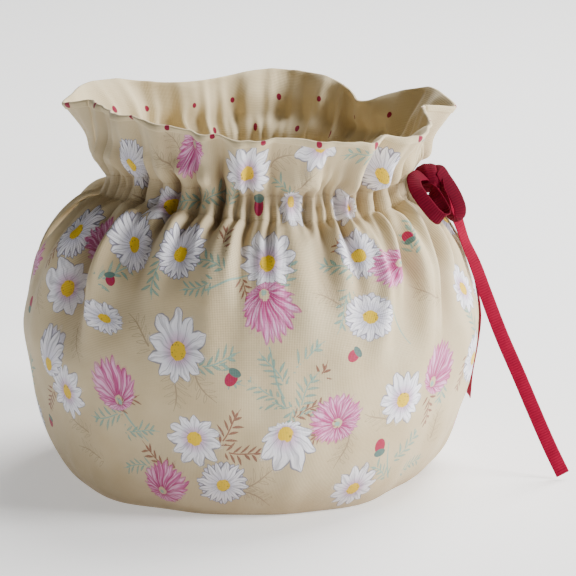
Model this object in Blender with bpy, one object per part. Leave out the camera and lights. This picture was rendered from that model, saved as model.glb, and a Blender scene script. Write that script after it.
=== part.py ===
"""A drawstring tea cosy: a gathered bag of printed cotton with a dotted lining and a ribbon bow.

Two like panels, front and back, are sewn to each other at the lower sides. Above those seams
they part into a short gap at -X and a longer one at +X. A ribbon drawn through a stitched channel gathers
the neck, and the cloth above it stands up as a loose ruffle. Lengths in the tables are in
millimetres and angles in degrees, turned from +X towards +Y; the front is at -Y.
"""
import math

import bmesh
import bpy
import numpy as np

MM = 0.001

# Driving dimensions
CLOTH = 1.2             # thickness of a printed panel
LINING = 1.0            # thickness of a lining
RIBBON = 1.0            # thickness of the ribbon
RIBBON_WIDTH = 7.0
LAYER_GAP = 0.5         # between a panel and its lining
CHANNEL_GAP = 2.7       # the same gap inside the ribbon channel
RIBBON_CLEAR = 0.95     # between a panel and the ribbon in the channel
SEAM_GAP = 0.3          # between the two panels along a side seam
DEPTH_SHARE = 0.96      # depth of the bag over its width
GATHERS = 20            # gathers along one panel's neck
COLUMNS = 2 * GATHERS   # one column on each crest and each trough

# The side of the bag, from the hem up: height, radius, sideways shift of the middle, how much the
# level follows the neck's rise and fall, half width of the left and right gaps, and how far the
# gaps' ends turn to the front
LEVELS = (
    # name, height, radius, shift, follow, left gap, right gap, turn
    ("hem inner edge", 0.0, 80.0, -3.0, 0.0, 0.15, 0.15, 0.0),
    ("hem outer edge", 0.0, 86.5, -3.0, 0.0, 0.15, 0.15, 0.0),
    ("tuck", 6.0, 93.5, -2.6, 0.0, 0.15, 0.15, 0.0),
    ("low", 17.0, 100.5, -1.8, 0.0, 0.15, 0.15, 0.0),
    ("lower belly", 34.0, 106.5, -0.8, 0.0, 0.15, 0.15, 0.0),
    ("belly", 55.0, 111.3, 0.0, 0.0, 0.15, 0.15, 0.0),
    ("widest", 76.0, 114.0, 0.0, 0.0, 0.15, 0.15, 0.0),
    ("upper belly", 93.0, 111.3, 0.0, 0.0, 0.15, 5.0, 0.0),
    ("shoulder", 107.0, 107.6, 0.0, 0.0, 0.15, 9.5, 0.0),
    ("gap foot", 117.0, 104.4, 0.0, 0.1, 9.0, 10.0, 0.0),
    ("gap middle", 127.0, 98.7, 0.0, 0.3, 15.0, 10.0, 0.0),
    ("gap top", 136.0, 91.5, 0.8, 0.6, 15.0, 9.0, 0.0),
    ("under neck", 141.5, 85.0, 1.8, 0.9, 11.0, 7.0, 0.0),
    ("channel foot", 145.5, 78.0, 3.2, 1.0, 6.0, 4.5, 0.0),
    ("channel", 151.0, 76.7, 3.6, 1.0, 3.5, 3.5, 0.0),
    ("channel head", 156.5, 75.7, 3.8, 1.0, 3.5, 3.5, 0.5),
    ("ruffle foot", 163.0, 77.0, 3.8, 1.0, 1.8, 1.8, 3.0),
    ("ruffle middle", 172.0, 82.0, 3.8, 1.0, 0.9, 0.9, 5.0),
    ("ruffle upper", 180.0, 88.0, 3.8, 1.0, 0.6, 0.6, 6.3),
    ("rim", 187.0, 92.0, 3.8, 1.0, 0.6, 0.6, 7.0),
)
CHANNEL_LEVEL = 14
NECK_LEVEL = 15
RIM_LEVEL = len(LEVELS) - 1
GAP_REACH = 0.22        # share of a panel, from its end, that a gap draws aside
SLOPE_STEP = 0.02       # part of a level over which the cloth's slope is taken

# Rows of the solids: all levels for a panel, fewer low down for a lining
PANEL_ROWS = tuple(range(RIM_LEVEL + 1))
LINING_ROWS = (0, 1, 3, 5, 7, 8, 9, 10, 11, 12, 13, 14, 15, 16, 17, 18, 19)

# Share of the way from the neck to the rim at each level above the neck
RUFFLE_SHARE = ((15, 0.0, 0.0), (16, 0.12, 0.2), (17, 0.40, 0.48), (18, 0.72, 0.76), (19, 1.0, 1.0))

# How deep a lining lies at the levels behind the ribbon, from 0, close to the panel, to 1, the
# depth that the channel needs
LINING_DROP = (
    # level, share
    (11, 0.0), (12, 0.7), (13, 1.3), (14, 1.0), (15, 1.0), (16, 0.4), (17, 0.0),
)

# Height of the channel head around the neck
NECK = (
    # angle, height
    (0, 152.0), (45, 155.0), (90, 156.0), (135, 154.5), (180, 151.5),
    (205, 157.0), (228, 160.5), (250, 158.0), (280, 156.0), (305, 154.5), (335, 154.5), (350, 153.5),
)

# The free rim, which dips, flares and is pinched into an ear above each gap
RIM = (
    # angle, radius, height
    (3, 97, 183.5), (12, 95, 186), (24, 92, 187), (36, 85, 181), (47, 76, 176), (58, 83, 181),
    (70, 90, 184), (85, 93, 185), (96, 88, 184), (107, 81, 183), (124, 82, 183), (140, 94, 186),
    (152, 98, 187), (166, 95, 187), (177, 97, 185), (187, 84, 190), (200, 80, 189), (213, 82, 190),
    (227, 84, 191), (247, 83, 188), (258, 86, 187), (270, 90, 186), (282, 89, 187), (291, 94, 185),
    (302, 98, 184), (312, 95, 184), (322, 99, 183), (331, 95, 184), (342, 86, 186), (353, 83, 187),
)

# Soft folds that run down from the gathers
FOLDS = (
    # angle at the neck, angle at the low end, half width, rise, top height, low height
    (226, 225, 4.5, 4.5, 146, 78),
    (217, 216, 5.5, -5.0, 146, 72),
    (238, 236, 4.0, -1.8, 146, 90),
    (318, 302, 3.6, 3.6, 144, 72),
    (323, 308, 4.0, -3.4, 144, 76),
    (333, 316, 3.6, 3.8, 147, 60),
    (340, 323, 4.5, -4.2, 147, 56),
    (283, 286, 4.5, 2.2, 145, 72),
    (290, 293, 4.5, -2.0, 145, 84),
    (258, 260, 4.5, 1.8, 145, 66),
    (204, 201, 4.5, 2.4, 132, 70),
    (40, 46, 4.5, 3.6, 146, 74),
    (49, 55, 5.0, -3.6, 146, 72),
    (72, 74, 4.5, 2.2, 146, 84),
    (98, 95, 4.5, -2.0, 146, 80),
    (118, 114, 4.5, 3.4, 146, 68),
    (126, 122, 5.0, -3.4, 146, 74),
    (150, 146, 4.5, 2.6, 140, 70),
)

FOLD_TOP_WIDTH = 0.7    # a fold's width at its top over its half width
FOLD_SPREAD = 0.9       # how much of its half width it gains on its way down
FOLD_ROUNDING = 0.55    # below 1 a fold is fullest above the middle of its length

# How strongly the neck's gathers show at each level
GATHER_RISE = (
    # level, rise
    (7, 0.0), (8, 0.15), (9, 0.35), (10, 0.6), (11, 1.0), (12, 1.4), (13, 1.5),
    (14, 1.5), (15, 1.5), (16, 1.4), (17, 1.1), (18, 0.7), (19, 0.4),
)

GATHER_SIZE = 0.95
# How the gathers' size swings along a panel, so that no two are alike
GATHER_SWINGS = (
    # rate, size, start
    (19, 0.3, 1),
    (41, 0.2, 2),
)

# The uneven lower edge: how many waves go round, their size and where they start
HEM_WAVES = (
    # count, size, start
    (5, 1.3, 40), (8, 0.9, 130), (13, 0.6, 15),
)
HEM_WAVE_HEIGHT = 45.0

# The bow's loops: the ribbon's middle and the way that its face looks
FRONT_LOOP = (
    # x, y, z, face x, face y, face z
    (84.0, -25.2, 156.0, 0.2, -0.6, 0.8),
    (79.5, -33.0, 156.4, 0.1, -0.8, 0.6),
    (80.2, -38.8, 152.6, 0.2, -1.0, 0.3),
    (83.2, -41.4, 148.2, 0.2, -1.0, 0.2),
    (86.4, -42.2, 144.0, 0.2, -1.0, 0.1),
    (89.6, -42.0, 140.2, 0.3, -1.0, -0.1),
    (92.8, -40.2, 137.8, 0.6, -0.6, -0.5),
    (94.2, -37.0, 139.4, 0.4, 0.8, -0.3),
    (92.4, -34.4, 143.4, 0.0, 1.0, -0.1),
    (89.8, -31.4, 147.2, -0.1, 1.0, 0.2),
    (87.0, -26.0, 151.0, -0.1, 0.8, 0.6),
)
BACK_LOOP = (
    # x, y, z, face x, face y, face z
    (92.1, -21.4, 158.0, 0.3, -0.6, 0.8),
    (95.2, -21.8, 153.6, 0.4, -0.8, 0.5),
    (98.8, -22.4, 148.0, 0.5, -0.85, 0.2),
    (101.4, -22.6, 142.6, 0.5, -0.85, 0.0),
    (102.8, -22.6, 137.6, 0.5, -0.8, -0.2),
    (102.2, -22.4, 134.2, 0.3, -0.6, -0.7),
    (99.6, -22.2, 133.4, -0.4, -0.5, -0.7),
    (97.2, -22.2, 136.6, -0.8, -0.5, -0.1),
    (95.8, -22.2, 142.0, -0.8, -0.5, 0.2),
    (94.2, -22.0, 147.4, -0.8, -0.3, 0.4),
    (92.8, -21.6, 151.2, -0.9, -0.2, 0.3),
)

# The two free ends of the ribbon
LONG_TAIL = (
    # x, y, z, face x, face y, face z
    (92.2, -15.4, 149.0, 0.6, -0.8, 0.2),
    (96.0, -14.6, 142.0, 0.6, -0.8, 0.1),
    (101.4, -13.4, 132.5, 0.7, -0.7, 0.1),
    (106.2, -12.6, 119.0, 0.8, -0.6, 0.1),
    (111.0, -12.6, 108.0, 0.6, -0.8, 0.1),
    (116.3, -13.4, 93.5, 0.4, -0.9, 0.1),
    (125.0, -15.4, 71.0, 0.3, -1.0, 0.1),
    (133.2, -17.6, 52.5, 0.2, -1.0, 0.1),
    (141.4, -20.0, 33.5, 0.2, -1.0, 0.1),
    (149.2, -22.2, 16.0, 0.2, -1.0, 0.1),
    (155.8, -24.0, 2.5, 0.2, -1.0, 0.1),
)
SHORT_TAIL = (
    # x, y, z, face x, face y, face z
    (90.4, -13.1, 154.8, 0.8, 0.1, 0.6),
    (94.4, -5.0, 149.0, 0.8, 0.1, 0.5),
    (99.0, 3.0, 139.5, 0.8, 0.1, 0.5),
    (104.6, 8.0, 126.0, 0.9, 0.1, 0.4),
    (109.4, 9.6, 109.0, 1.0, 0.1, 0.2),
    (113.0, 10.5, 92.0, 1.0, 0.1, 0.1),
    (115.2, 12.0, 76.0, 1.0, 0.1, 0.0),
    (114.0, 14.5, 60.0, 1.0, 0.1, -0.1),
    (111.5, 17.0, 45.0, 1.0, 0.2, -0.1),
    (110.5, 19.0, 31.0, 1.0, 0.2, 0.0),
)
TAIL_STEPS = 20
LOOP_STEPS = 20

# The ends of the drawn ribbon, from inside the channel out to the knot
DRAWN_BACK_END = (
    # angle, radius, height over the channel's middle
    (-8.5, 85.3, 5.2), (-5.0, 84.6, 3.6), (-1.0, 82.0, 1.8), (1.2, 77.4, 0.5),
)
DRAWN_FRONT_END = (
    # angle, radius, height over the channel's middle
    (-1.4, 76.4, 0.2), (-0.6, 78.8, 0.6), (-2.6, 80.4, 1.4), (-5.6, 81.2, 2.6), (-8.6, 82.2, 3.8),
)

KNOT_CENTRE = (86.8, -18.6, 153.2)
KNOT_SIZE = (8.4, 12.0, 12.5)
KNOT_ROUNDNESS = 0.7    # 1 is an egg, and less is boxier


def smooth(x, knots, values):
    """Values along a soft curve through the knots, flat past its ends."""
    knots = np.asarray(knots, float)
    values = np.asarray(values, float)
    slopes = np.gradient(values, knots)
    x = np.clip(x, knots[0], knots[-1])
    i = np.clip(np.searchsorted(knots, x, side="right") - 1, 0, len(knots) - 2)
    step = knots[i + 1] - knots[i]
    t = (x - knots[i]) / step
    start = (1 + 2 * t) * (1 - t) ** 2 * values[i] + t * (1 - t) ** 2 * step * slopes[i]
    end = t * t * (3 - 2 * t) * values[i + 1] - t * t * (1 - t) * step * slopes[i + 1]
    return start + end


def around(angle, table, column):
    """A column of a table of angles, read all the way round."""
    angles = [row[0] for row in table]
    values = [row[column] for row in table]
    knots = [a + turn for turn in (-360, 0, 360) for a in angles]
    return smooth(np.mod(angle, 360.0), knots, values * 3)


def level_column(column):
    """One column of the level table."""
    return np.array([row[column] for row in LEVELS])


def at_level(level, column):
    """A column of the level table, read between its levels."""
    return smooth(level, np.arange(RIM_LEVEL + 1), level_column(column))


def profile(angle, level):
    """Radius and height of the bag's outer face before folds, at angles and levels."""
    neck_rise = around(angle, NECK, 1) - LEVELS[NECK_LEVEL][1]
    hem_wave = sum(size * np.sin(np.radians(count * angle + start)) for count, size, start in HEM_WAVES)
    radii, heights = [], []
    for i, (_, height, radius, _, follow, _, _, _) in enumerate(LEVELS):
        low_share = max(0.0, 1 - height / HEM_WAVE_HEIGHT)
        radii.append(radius + hem_wave * low_share)
        heights.append(height + follow * neck_rise)
    rim_radius = around(angle, RIM, 1)
    rim_height = around(angle, RIM, 2)
    for i, out_share, up_share in RUFFLE_SHARE:
        radii[i] = radii[NECK_LEVEL] + (rim_radius - radii[NECK_LEVEL]) * out_share
        heights[i] = heights[NECK_LEVEL] + (rim_height - heights[NECK_LEVEL]) * up_share
    return along_levels(level, radii), along_levels(level, heights)


def along_levels(level, columns):
    """Soft curve over the levels, with a value of its own at each point of the grid."""
    columns = np.stack([np.broadcast_to(c, level.shape) for c in columns])
    slopes = np.gradient(columns, axis=0)
    i = np.clip(np.floor(level).astype(int), 0, RIM_LEVEL - 1)
    t = level - i
    a, b = (np.take_along_axis(columns, (i + k)[None], 0)[0] for k in (0, 1))
    da, db = (np.take_along_axis(slopes, (i + k)[None], 0)[0] for k in (0, 1))
    start = (1 + 2 * t) * (1 - t) ** 2 * a + t * (1 - t) ** 2 * da
    return start + t * t * (3 - 2 * t) * b - t * t * (1 - t) * db


def folds(angle, height):
    """How far the long soft folds stand out."""
    rise = np.zeros_like(angle)
    for top_angle, low_angle, half_width, size, top, low in FOLDS:
        down = np.clip((top - height) / (top - low), 0.0, 1.0)
        middle = top_angle + (low_angle - top_angle) * down
        width = half_width * (FOLD_TOP_WIDTH + FOLD_SPREAD * down)
        across = np.mod(angle - middle + 180.0, 360.0) - 180.0
        rise += size * np.sin(np.pi * down ** FOLD_ROUNDING) * np.exp(-((across / width) ** 2))
    return rise


def gathers(share, level, panel):
    """The narrow gathers at the neck, uneven along the panel."""
    size = smooth(level, [row[0] for row in GATHER_RISE], [row[1] for row in GATHER_RISE])
    swing = GATHER_SIZE + sum(s * np.sin(rate * share + start * panel) for rate, s, start in GATHER_SWINGS)
    return size * swing * np.cos(2 * np.pi * GATHERS * share)


def panel_angle(share, level, panel):
    """Angle of a point that lies the given share along the panel."""
    radius = at_level(level, 2)
    left = np.degrees(np.maximum(at_level(level, 5), SEAM_GAP / 2) / radius)
    right = np.degrees(np.maximum(at_level(level, 6), SEAM_GAP / 2) / radius)
    turn = np.maximum(at_level(level, 7), 0.0)
    near_start = np.clip(1 - share / GAP_REACH, 0, 1) ** 2
    near_end = np.clip(1 - (1 - share) / GAP_REACH, 0, 1) ** 2
    if panel == 0:
        return 180 + 180 * share + (turn + left) * near_start - (turn + right) * near_end
    return 180 * share + (right - turn) * near_start + (turn - left) * near_end


def cloth_point(angle, level, raised, inward):
    """Points of the cloth, raised over its plain form and set inward by a layer's depth."""
    radius, height = profile(angle, level)
    radius_up, height_up = profile(angle, np.minimum(level + SLOPE_STEP, RIM_LEVEL))
    radius_down, height_down = profile(angle, np.maximum(level - SLOPE_STEP, 0))
    run, climb = radius_up - radius_down, height_up - height_down
    length = np.hypot(run, climb)
    out, up = climb / length, -run / length
    radius = radius + out * (raised - inward)
    height = np.maximum(height, 0.0) + up * (raised - inward)
    shift = at_level(level, 3)
    x = radius * np.cos(np.radians(angle)) + shift
    y = radius * np.sin(np.radians(angle)) * DEPTH_SHARE
    return np.stack([x, y, height], axis=-1)


def panel_grid(panel, rows, inward):
    """Grid of points over one panel, at a depth under its outer face."""
    share, level = np.meshgrid(np.linspace(0, 1, COLUMNS + 1), np.array(rows, float), indexing="ij")
    angle = panel_angle(share, level, panel)
    _, height = profile(angle, level)
    raised = folds(angle, height) + gathers(share, level, panel)
    depth = np.broadcast_to(inward, (len(rows),))[None, :]
    return cloth_point(angle, level, raised, depth)


def lining_depth(rows):
    """How deep the lining's outer face lies under the panel's, deeper behind the ribbon."""
    drop = np.interp(rows, [row[0] for row in LINING_DROP], [row[1] for row in LINING_DROP])
    return CLOTH + LAYER_GAP + (CHANNEL_GAP - LAYER_GAP) * drop


def material(name, colour, roughness):
    """A plain finish: sRGB colour and roughness."""
    made = bpy.data.materials.new(name)
    made.use_nodes = True
    linear = [c / 12.92 if c <= 0.04045 else ((c + 0.055) / 1.055) ** 2.4 for c in colour]
    shader = made.node_tree.nodes["Principled BSDF"]
    shader.inputs["Base Color"].default_value = (*linear, 1.0)
    shader.inputs["Roughness"].default_value = roughness
    shader.inputs["Metallic"].default_value = 0.0
    return made


def add_object(name, mesh_maker, finish):
    """One named object from a bmesh, with its faces turned outward."""
    mesh = bpy.data.meshes.new(name)
    shape = bmesh.new()
    mesh_maker(shape)
    bmesh.ops.recalc_face_normals(shape, faces=shape.faces)
    shape.to_mesh(mesh)
    shape.free()
    mesh.shade_smooth()
    mesh.materials.append(finish)
    made = bpy.data.objects.new(name, mesh)
    bpy.context.scene.collection.objects.link(made)
    return made


def sheet(name, outer, inner, finish):
    """A closed sheet between two grids of points."""
    def fill(shape):
        columns, rows = outer.shape[:2]
        faces = [[[shape.verts.new(p * MM) for p in line] for line in side] for side in (outer, inner)]
        for side in faces:
            for i in range(columns - 1):
                for j in range(rows - 1):
                    shape.faces.new((side[i][j], side[i + 1][j], side[i + 1][j + 1], side[i][j + 1]))
        ring = [(i, 0) for i in range(columns - 1)]
        ring += [(columns - 1, j) for j in range(rows - 1)]
        ring += [(i, rows - 1) for i in range(columns - 1, 0, -1)]
        ring += [(0, j) for j in range(rows - 1, 0, -1)]
        for a, b in zip(ring, ring[1:] + ring[:1]):
            shape.faces.new(tuple(faces[s][p[0]][p[1]] for s, p in ((0, a), (0, b), (1, b), (1, a))))
    return add_object(name, fill, finish)


def unit(vectors):
    """Vectors scaled to a length of one."""
    return vectors / np.linalg.norm(vectors, axis=-1, keepdims=True)


def strip_corners(middles, facing):
    """The four corners of a flat ribbon's section at each point of its middle line."""
    along = unit(np.gradient(middles, axis=0))
    across = unit(np.cross(along, facing))
    out = np.cross(across, along)
    half = across * RIBBON_WIDTH / 2
    thick = out * RIBBON / 2
    corners = (middles - half - thick, middles + half - thick, middles + half + thick, middles - half + thick)
    return np.stack(corners, axis=1)


def strip(name, corners, finish):
    """A closed flat ribbon through the corners of its sections."""
    def fill(shape):
        rings = [[shape.verts.new(p * MM) for p in ring] for ring in corners]
        for a, b in zip(rings, rings[1:]):
            for k in range(4):
                shape.faces.new((a[k], a[(k + 1) % 4], b[(k + 1) % 4], b[k]))
        shape.faces.new(rings[0][::-1])
        shape.faces.new(rings[-1])
    return add_object(name, fill, finish)


def curve_through(table, steps):
    """Even points on one soft curve through the first three columns of a table, and its facing."""
    rows = np.array(table, float)
    gaps = np.linalg.norm(np.diff(rows[:, :3], axis=0), axis=1)
    knots = np.concatenate([[0], np.cumsum(gaps)])
    places = np.linspace(0, knots[-1], steps + 1)
    columns = np.stack([smooth(places, knots, rows[:, k]) for k in range(6)], axis=-1)
    return columns[:, :3], unit(columns[:, 3:])


def drawn_end(table):
    """Points of the ribbon's end outside the channel, from angles, radii and heights."""
    middle = LEVELS[CHANNEL_LEVEL][1] + around(0.0, NECK, 1) - LEVELS[NECK_LEVEL][1]
    points = []
    for angle, radius, rise in table:
        x = radius * math.cos(math.radians(angle)) + LEVELS[CHANNEL_LEVEL][3]
        y = radius * math.sin(math.radians(angle)) * DEPTH_SHARE
        points.append((x, y, middle + rise))
    return np.array(points)


def channel_corners(panel):
    """The ribbon's corners inside the channel, where it follows the gathers."""
    rows = (CHANNEL_LEVEL - 1, CHANNEL_LEVEL, CHANNEL_LEVEL + 1)
    sides = []
    for depth in (CLOTH + RIBBON_CLEAR + RIBBON, CLOTH + RIBBON_CLEAR):
        foot, middle, head = np.moveaxis(panel_grid(panel, rows, depth), 1, 0)
        channel_height = np.linalg.norm(head - foot, axis=1, keepdims=True)
        share = RIBBON_WIDTH / channel_height
        sides.append((middle + (head - middle) * share, middle + (foot - middle) * share))
    (inner_up, inner_down), (outer_up, outer_down) = sides
    return np.stack([inner_up, inner_down, outer_down, outer_up], axis=1)


def drawn_ribbon(finish):
    """The ribbon inside the channel, round the neck from the knot and back to it."""
    rounds = [channel_corners(1), channel_corners(0)]
    ends = [drawn_end(DRAWN_BACK_END), drawn_end(DRAWN_FRONT_END)]
    middles = np.concatenate([ends[0], *(r.mean(axis=1) for r in rounds), ends[1]])
    facing = np.cross(np.gradient(middles, axis=0), np.array([0.0, 0.0, 1.0]))
    corners = strip_corners(middles, unit(facing))
    first = len(ends[0])
    corners[first:first + 2 * (COLUMNS + 1)] = np.concatenate(rounds)
    return strip("ribbon_drawn", corners, finish)


def knot(finish):
    """The tied knot, a small rounded lump."""
    def fill(shape):
        bmesh.ops.create_icosphere(shape, subdivisions=3, radius=1.0)
        for vert in shape.verts:
            boxy = [math.copysign(abs(c) ** KNOT_ROUNDNESS, c) for c in vert.co]
            vert.co = [(c * s / 2 + m) * MM for c, s, m in zip(boxy, KNOT_SIZE, KNOT_CENTRE)]
    return add_object("ribbon_knot", fill, finish)


def build():
    """All sub-parts of the cosy."""
    for old in list(bpy.data.objects):
        bpy.data.objects.remove(old, do_unlink=True)
    printed = material("printed_cotton", (0.93, 0.87, 0.72), 0.85)
    dotted = material("dotted_cotton", (0.91, 0.84, 0.66), 0.85)
    grosgrain = material("grosgrain_ribbon", (0.60, 0.03, 0.13), 0.55)
    depths = lining_depth(LINING_ROWS)
    for panel, side in enumerate(("front", "back")):
        outer = panel_grid(panel, PANEL_ROWS, 0.0)
        inner = panel_grid(panel, PANEL_ROWS, CLOTH)
        sheet(side + "_panel", outer, inner, printed)
        outer = panel_grid(panel, LINING_ROWS, depths)
        inner = panel_grid(panel, LINING_ROWS, depths + LINING)
        sheet(side + "_lining", outer, inner, dotted)
    drawn_ribbon(grosgrain)
    knot(grosgrain)
    for name, table, steps in (
        ("ribbon_loop_front", FRONT_LOOP, LOOP_STEPS),
        ("ribbon_loop_back", BACK_LOOP, LOOP_STEPS),
        ("ribbon_tail_long", LONG_TAIL, TAIL_STEPS),
        ("ribbon_tail_short", SHORT_TAIL, TAIL_STEPS),
    ):
        middles, facing = curve_through(table, steps)
        strip(name, strip_corners(middles, facing), grosgrain)


build()
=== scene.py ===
import math
from functools import partial

import bmesh
import bpy
import numpy as np
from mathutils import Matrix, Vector


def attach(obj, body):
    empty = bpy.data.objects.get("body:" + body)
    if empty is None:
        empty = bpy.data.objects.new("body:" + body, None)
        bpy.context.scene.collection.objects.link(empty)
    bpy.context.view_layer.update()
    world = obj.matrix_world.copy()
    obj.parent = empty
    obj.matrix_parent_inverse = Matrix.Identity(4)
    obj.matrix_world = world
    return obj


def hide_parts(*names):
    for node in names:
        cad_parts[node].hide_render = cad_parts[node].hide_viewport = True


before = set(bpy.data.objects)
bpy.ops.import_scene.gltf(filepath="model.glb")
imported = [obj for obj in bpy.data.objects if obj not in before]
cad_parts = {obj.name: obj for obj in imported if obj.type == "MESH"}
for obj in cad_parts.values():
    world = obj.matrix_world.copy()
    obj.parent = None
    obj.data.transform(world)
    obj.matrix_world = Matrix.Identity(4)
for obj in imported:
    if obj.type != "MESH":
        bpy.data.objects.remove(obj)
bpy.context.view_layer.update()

# Camera: two metres off and a little above the cosy, with a long lens, so that the bag shows with
# hardly any perspective. The small shift sets the bag where it stands in the picture.
CAMERA_DISTANCE = 2.0
CAMERA_RISE = math.radians(14.8)
CAMERA_AIM = Vector((0.0, 0.0, 0.09))
CAMERA_SIDE = Vector((0.0, -math.cos(CAMERA_RISE), math.sin(CAMERA_RISE)))
CAMERA_LENS = 250
CAMERA_SENSOR = 36
CAMERA_SHIFT = (0.064, 0.008)
bpy.ops.object.select_all(action="DESELECT")
bpy.ops.object.camera_add(
    location=CAMERA_AIM + CAMERA_SIDE * CAMERA_DISTANCE,
    rotation=(math.pi / 2 - CAMERA_RISE, 0.0, 0.0),
)
camera = bpy.context.object
camera.name = "camera"
camera.data.lens = CAMERA_LENS
camera.data.sensor_width = CAMERA_SENSOR
camera.data.shift_x, camera.data.shift_y = CAMERA_SHIFT
bpy.context.scene.camera = camera

# Bow tails: the two free ends of a 7 mm crimson grosgrain ribbon, a woven polyester ribbon with
# ribs across it. They come out of the knot under the ruffle. One is cut off straight and lies out
# to the right of the bag down to the table, and the other hangs down close to the bag's side.
MM = 0.001
RIBBON_WIDTH = 7.0
RIBBON_THICKNESS = 0.5
RIBBON_CUP = 0.35           # how far the middle of the ribbon stands out over its edges
RIBBON_RIB = 1.3            # real ribs are 0.8 mm apart, and are drawn wider so that they show
RIBBON_SELVEDGE = (0.7, 0.4)    # how far in the paler woven edge starts, and where it is full
RIBBON_ACROSS = (-1.0, -0.97, -0.8, -0.4, 0.0, 0.4, 0.8, 0.97, 1.0)
RIBBON_DARK = "#740322"
RIBBON_MIDDLE = "#8e062e"
RIBBON_LIGHT = "#960a36"
TAIL_STEPS = 150

LONG_TAIL = (
    # x, y, z, face x, face y, face z
    (92.2, -15.4, 149.0, 0.6, -0.8, 0.2),
    (96.0, -14.6, 142.0, 0.6, -0.8, 0.1),
    (101.4, -13.4, 132.5, 0.7, -0.7, 0.1),
    (106.2, -12.6, 119.0, 0.8, -0.6, 0.1),
    (111.0, -12.6, 108.0, 0.6, -0.8, 0.1),
    (116.3, -13.4, 93.5, 0.4, -0.9, 0.1),
    (125.0, -15.4, 71.0, 0.3, -1.0, 0.1),
    (133.2, -17.6, 52.5, 0.2, -1.0, 0.1),
    (141.4, -20.0, 33.5, 0.2, -1.0, 0.1),
    (149.2, -22.2, 16.0, 0.2, -1.0, 0.1),
    (155.8, -24.0, 2.5, 0.2, -1.0, 0.1),
)
SHORT_TAIL = (
    # x, y, z, face x, face y, face z
    (90.4, -13.1, 154.8, 0.8, 0.1, 0.6),
    (94.4, -5.0, 149.0, 0.8, 0.1, 0.5),
    (99.0, 3.0, 139.5, 0.8, 0.1, 0.5),
    (104.6, 8.0, 126.0, 0.9, 0.1, 0.4),
    (109.4, 9.6, 109.0, 1.0, 0.1, 0.2),
    (113.0, 10.5, 92.0, 1.0, 0.1, 0.1),
    (115.2, 12.0, 76.0, 1.0, 0.1, 0.0),
    (114.0, 14.5, 60.0, 1.0, 0.1, -0.1),
    (111.5, 17.0, 45.0, 1.0, 0.2, -0.1),
    (110.5, 19.0, 31.0, 1.0, 0.2, 0.0),
)
KNOT_CENTRE = (86.8, -18.6, 153.2)


def linear(code):
    """Linear colour of an sRGB hex code."""
    parts = [int(code[i:i + 2], 16) / 255 for i in (1, 3, 5)]
    return [c / 12.92 if c <= 0.04045 else ((c + 0.055) / 1.055) ** 2.4 for c in parts] + [1.0]


def add_node(tree, kind, *inputs, **settings):
    """Adds a shader node with its settings, sets or links its inputs, and gives its first output."""
    node = tree.nodes.new("ShaderNode" + kind)
    for name, value in settings.items():
        setattr(node, name, value)
    for socket, value in zip([s for s in node.inputs if s.enabled], inputs):
        if isinstance(value, bpy.types.NodeSocket):
            tree.links.new(value, socket)
        elif value is not None:
            socket.default_value = value
    return [s for s in node.outputs if s.enabled][0]


def smooth(x, knots, values):
    """Values along a soft curve through the knots, flat past its ends."""
    knots = np.asarray(knots, float)
    values = np.asarray(values, float)
    slopes = np.gradient(values, knots)
    x = np.clip(x, knots[0], knots[-1])
    i = np.clip(np.searchsorted(knots, x, side="right") - 1, 0, len(knots) - 2)
    step = knots[i + 1] - knots[i]
    t = (x - knots[i]) / step
    start = (1 + 2 * t) * (1 - t) ** 2 * values[i] + t * (1 - t) ** 2 * step * slopes[i]
    end = t * t * (3 - 2 * t) * values[i + 1] - t * t * (1 - t) * step * slopes[i + 1]
    return start + end


def unit(vectors):
    """Vectors scaled to a length of one."""
    return vectors / np.linalg.norm(vectors, axis=-1, keepdims=True)


def curve_through(table, steps):
    """Even points on one soft curve through a table's first three columns, and its facing."""
    rows = np.array(table, float)
    gaps = np.linalg.norm(np.diff(rows[:, :3], axis=0), axis=1)
    knots = np.concatenate([[0], np.cumsum(gaps)])
    places = np.linspace(0, knots[-1], steps + 1)
    columns = np.stack([smooth(places, knots, rows[:, k]) for k in range(6)], axis=-1)
    return columns[:, :3], unit(columns[:, 3:])


def linked_object(name, mesh):
    """An object of the mesh, shaded smooth, in the scene."""
    mesh.shade_smooth()
    made = bpy.data.objects.new(name, mesh)
    bpy.context.scene.collection.objects.link(made)
    return made


def ribbon_solid(name, points, faces, lengths, widths):
    """A closed solid of ribbon, with each point's place along and across it as its UV map."""
    mesh = bpy.data.meshes.new(name)
    mesh.from_pydata((points * MM).tolist(), [], faces)
    layer = mesh.uv_layers.new(name="ribbon_length")
    for loop in mesh.loops:
        i, j = divmod(loop.vertex_index, len(widths))
        layer.data[loop.index].uv = (lengths[i] * MM, widths[j] * MM)
    shape = bmesh.new()
    shape.from_mesh(mesh)
    bmesh.ops.recalc_face_normals(shape, faces=shape.faces)
    shape.to_mesh(mesh)
    shape.free()
    return linked_object(name, mesh)


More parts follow.
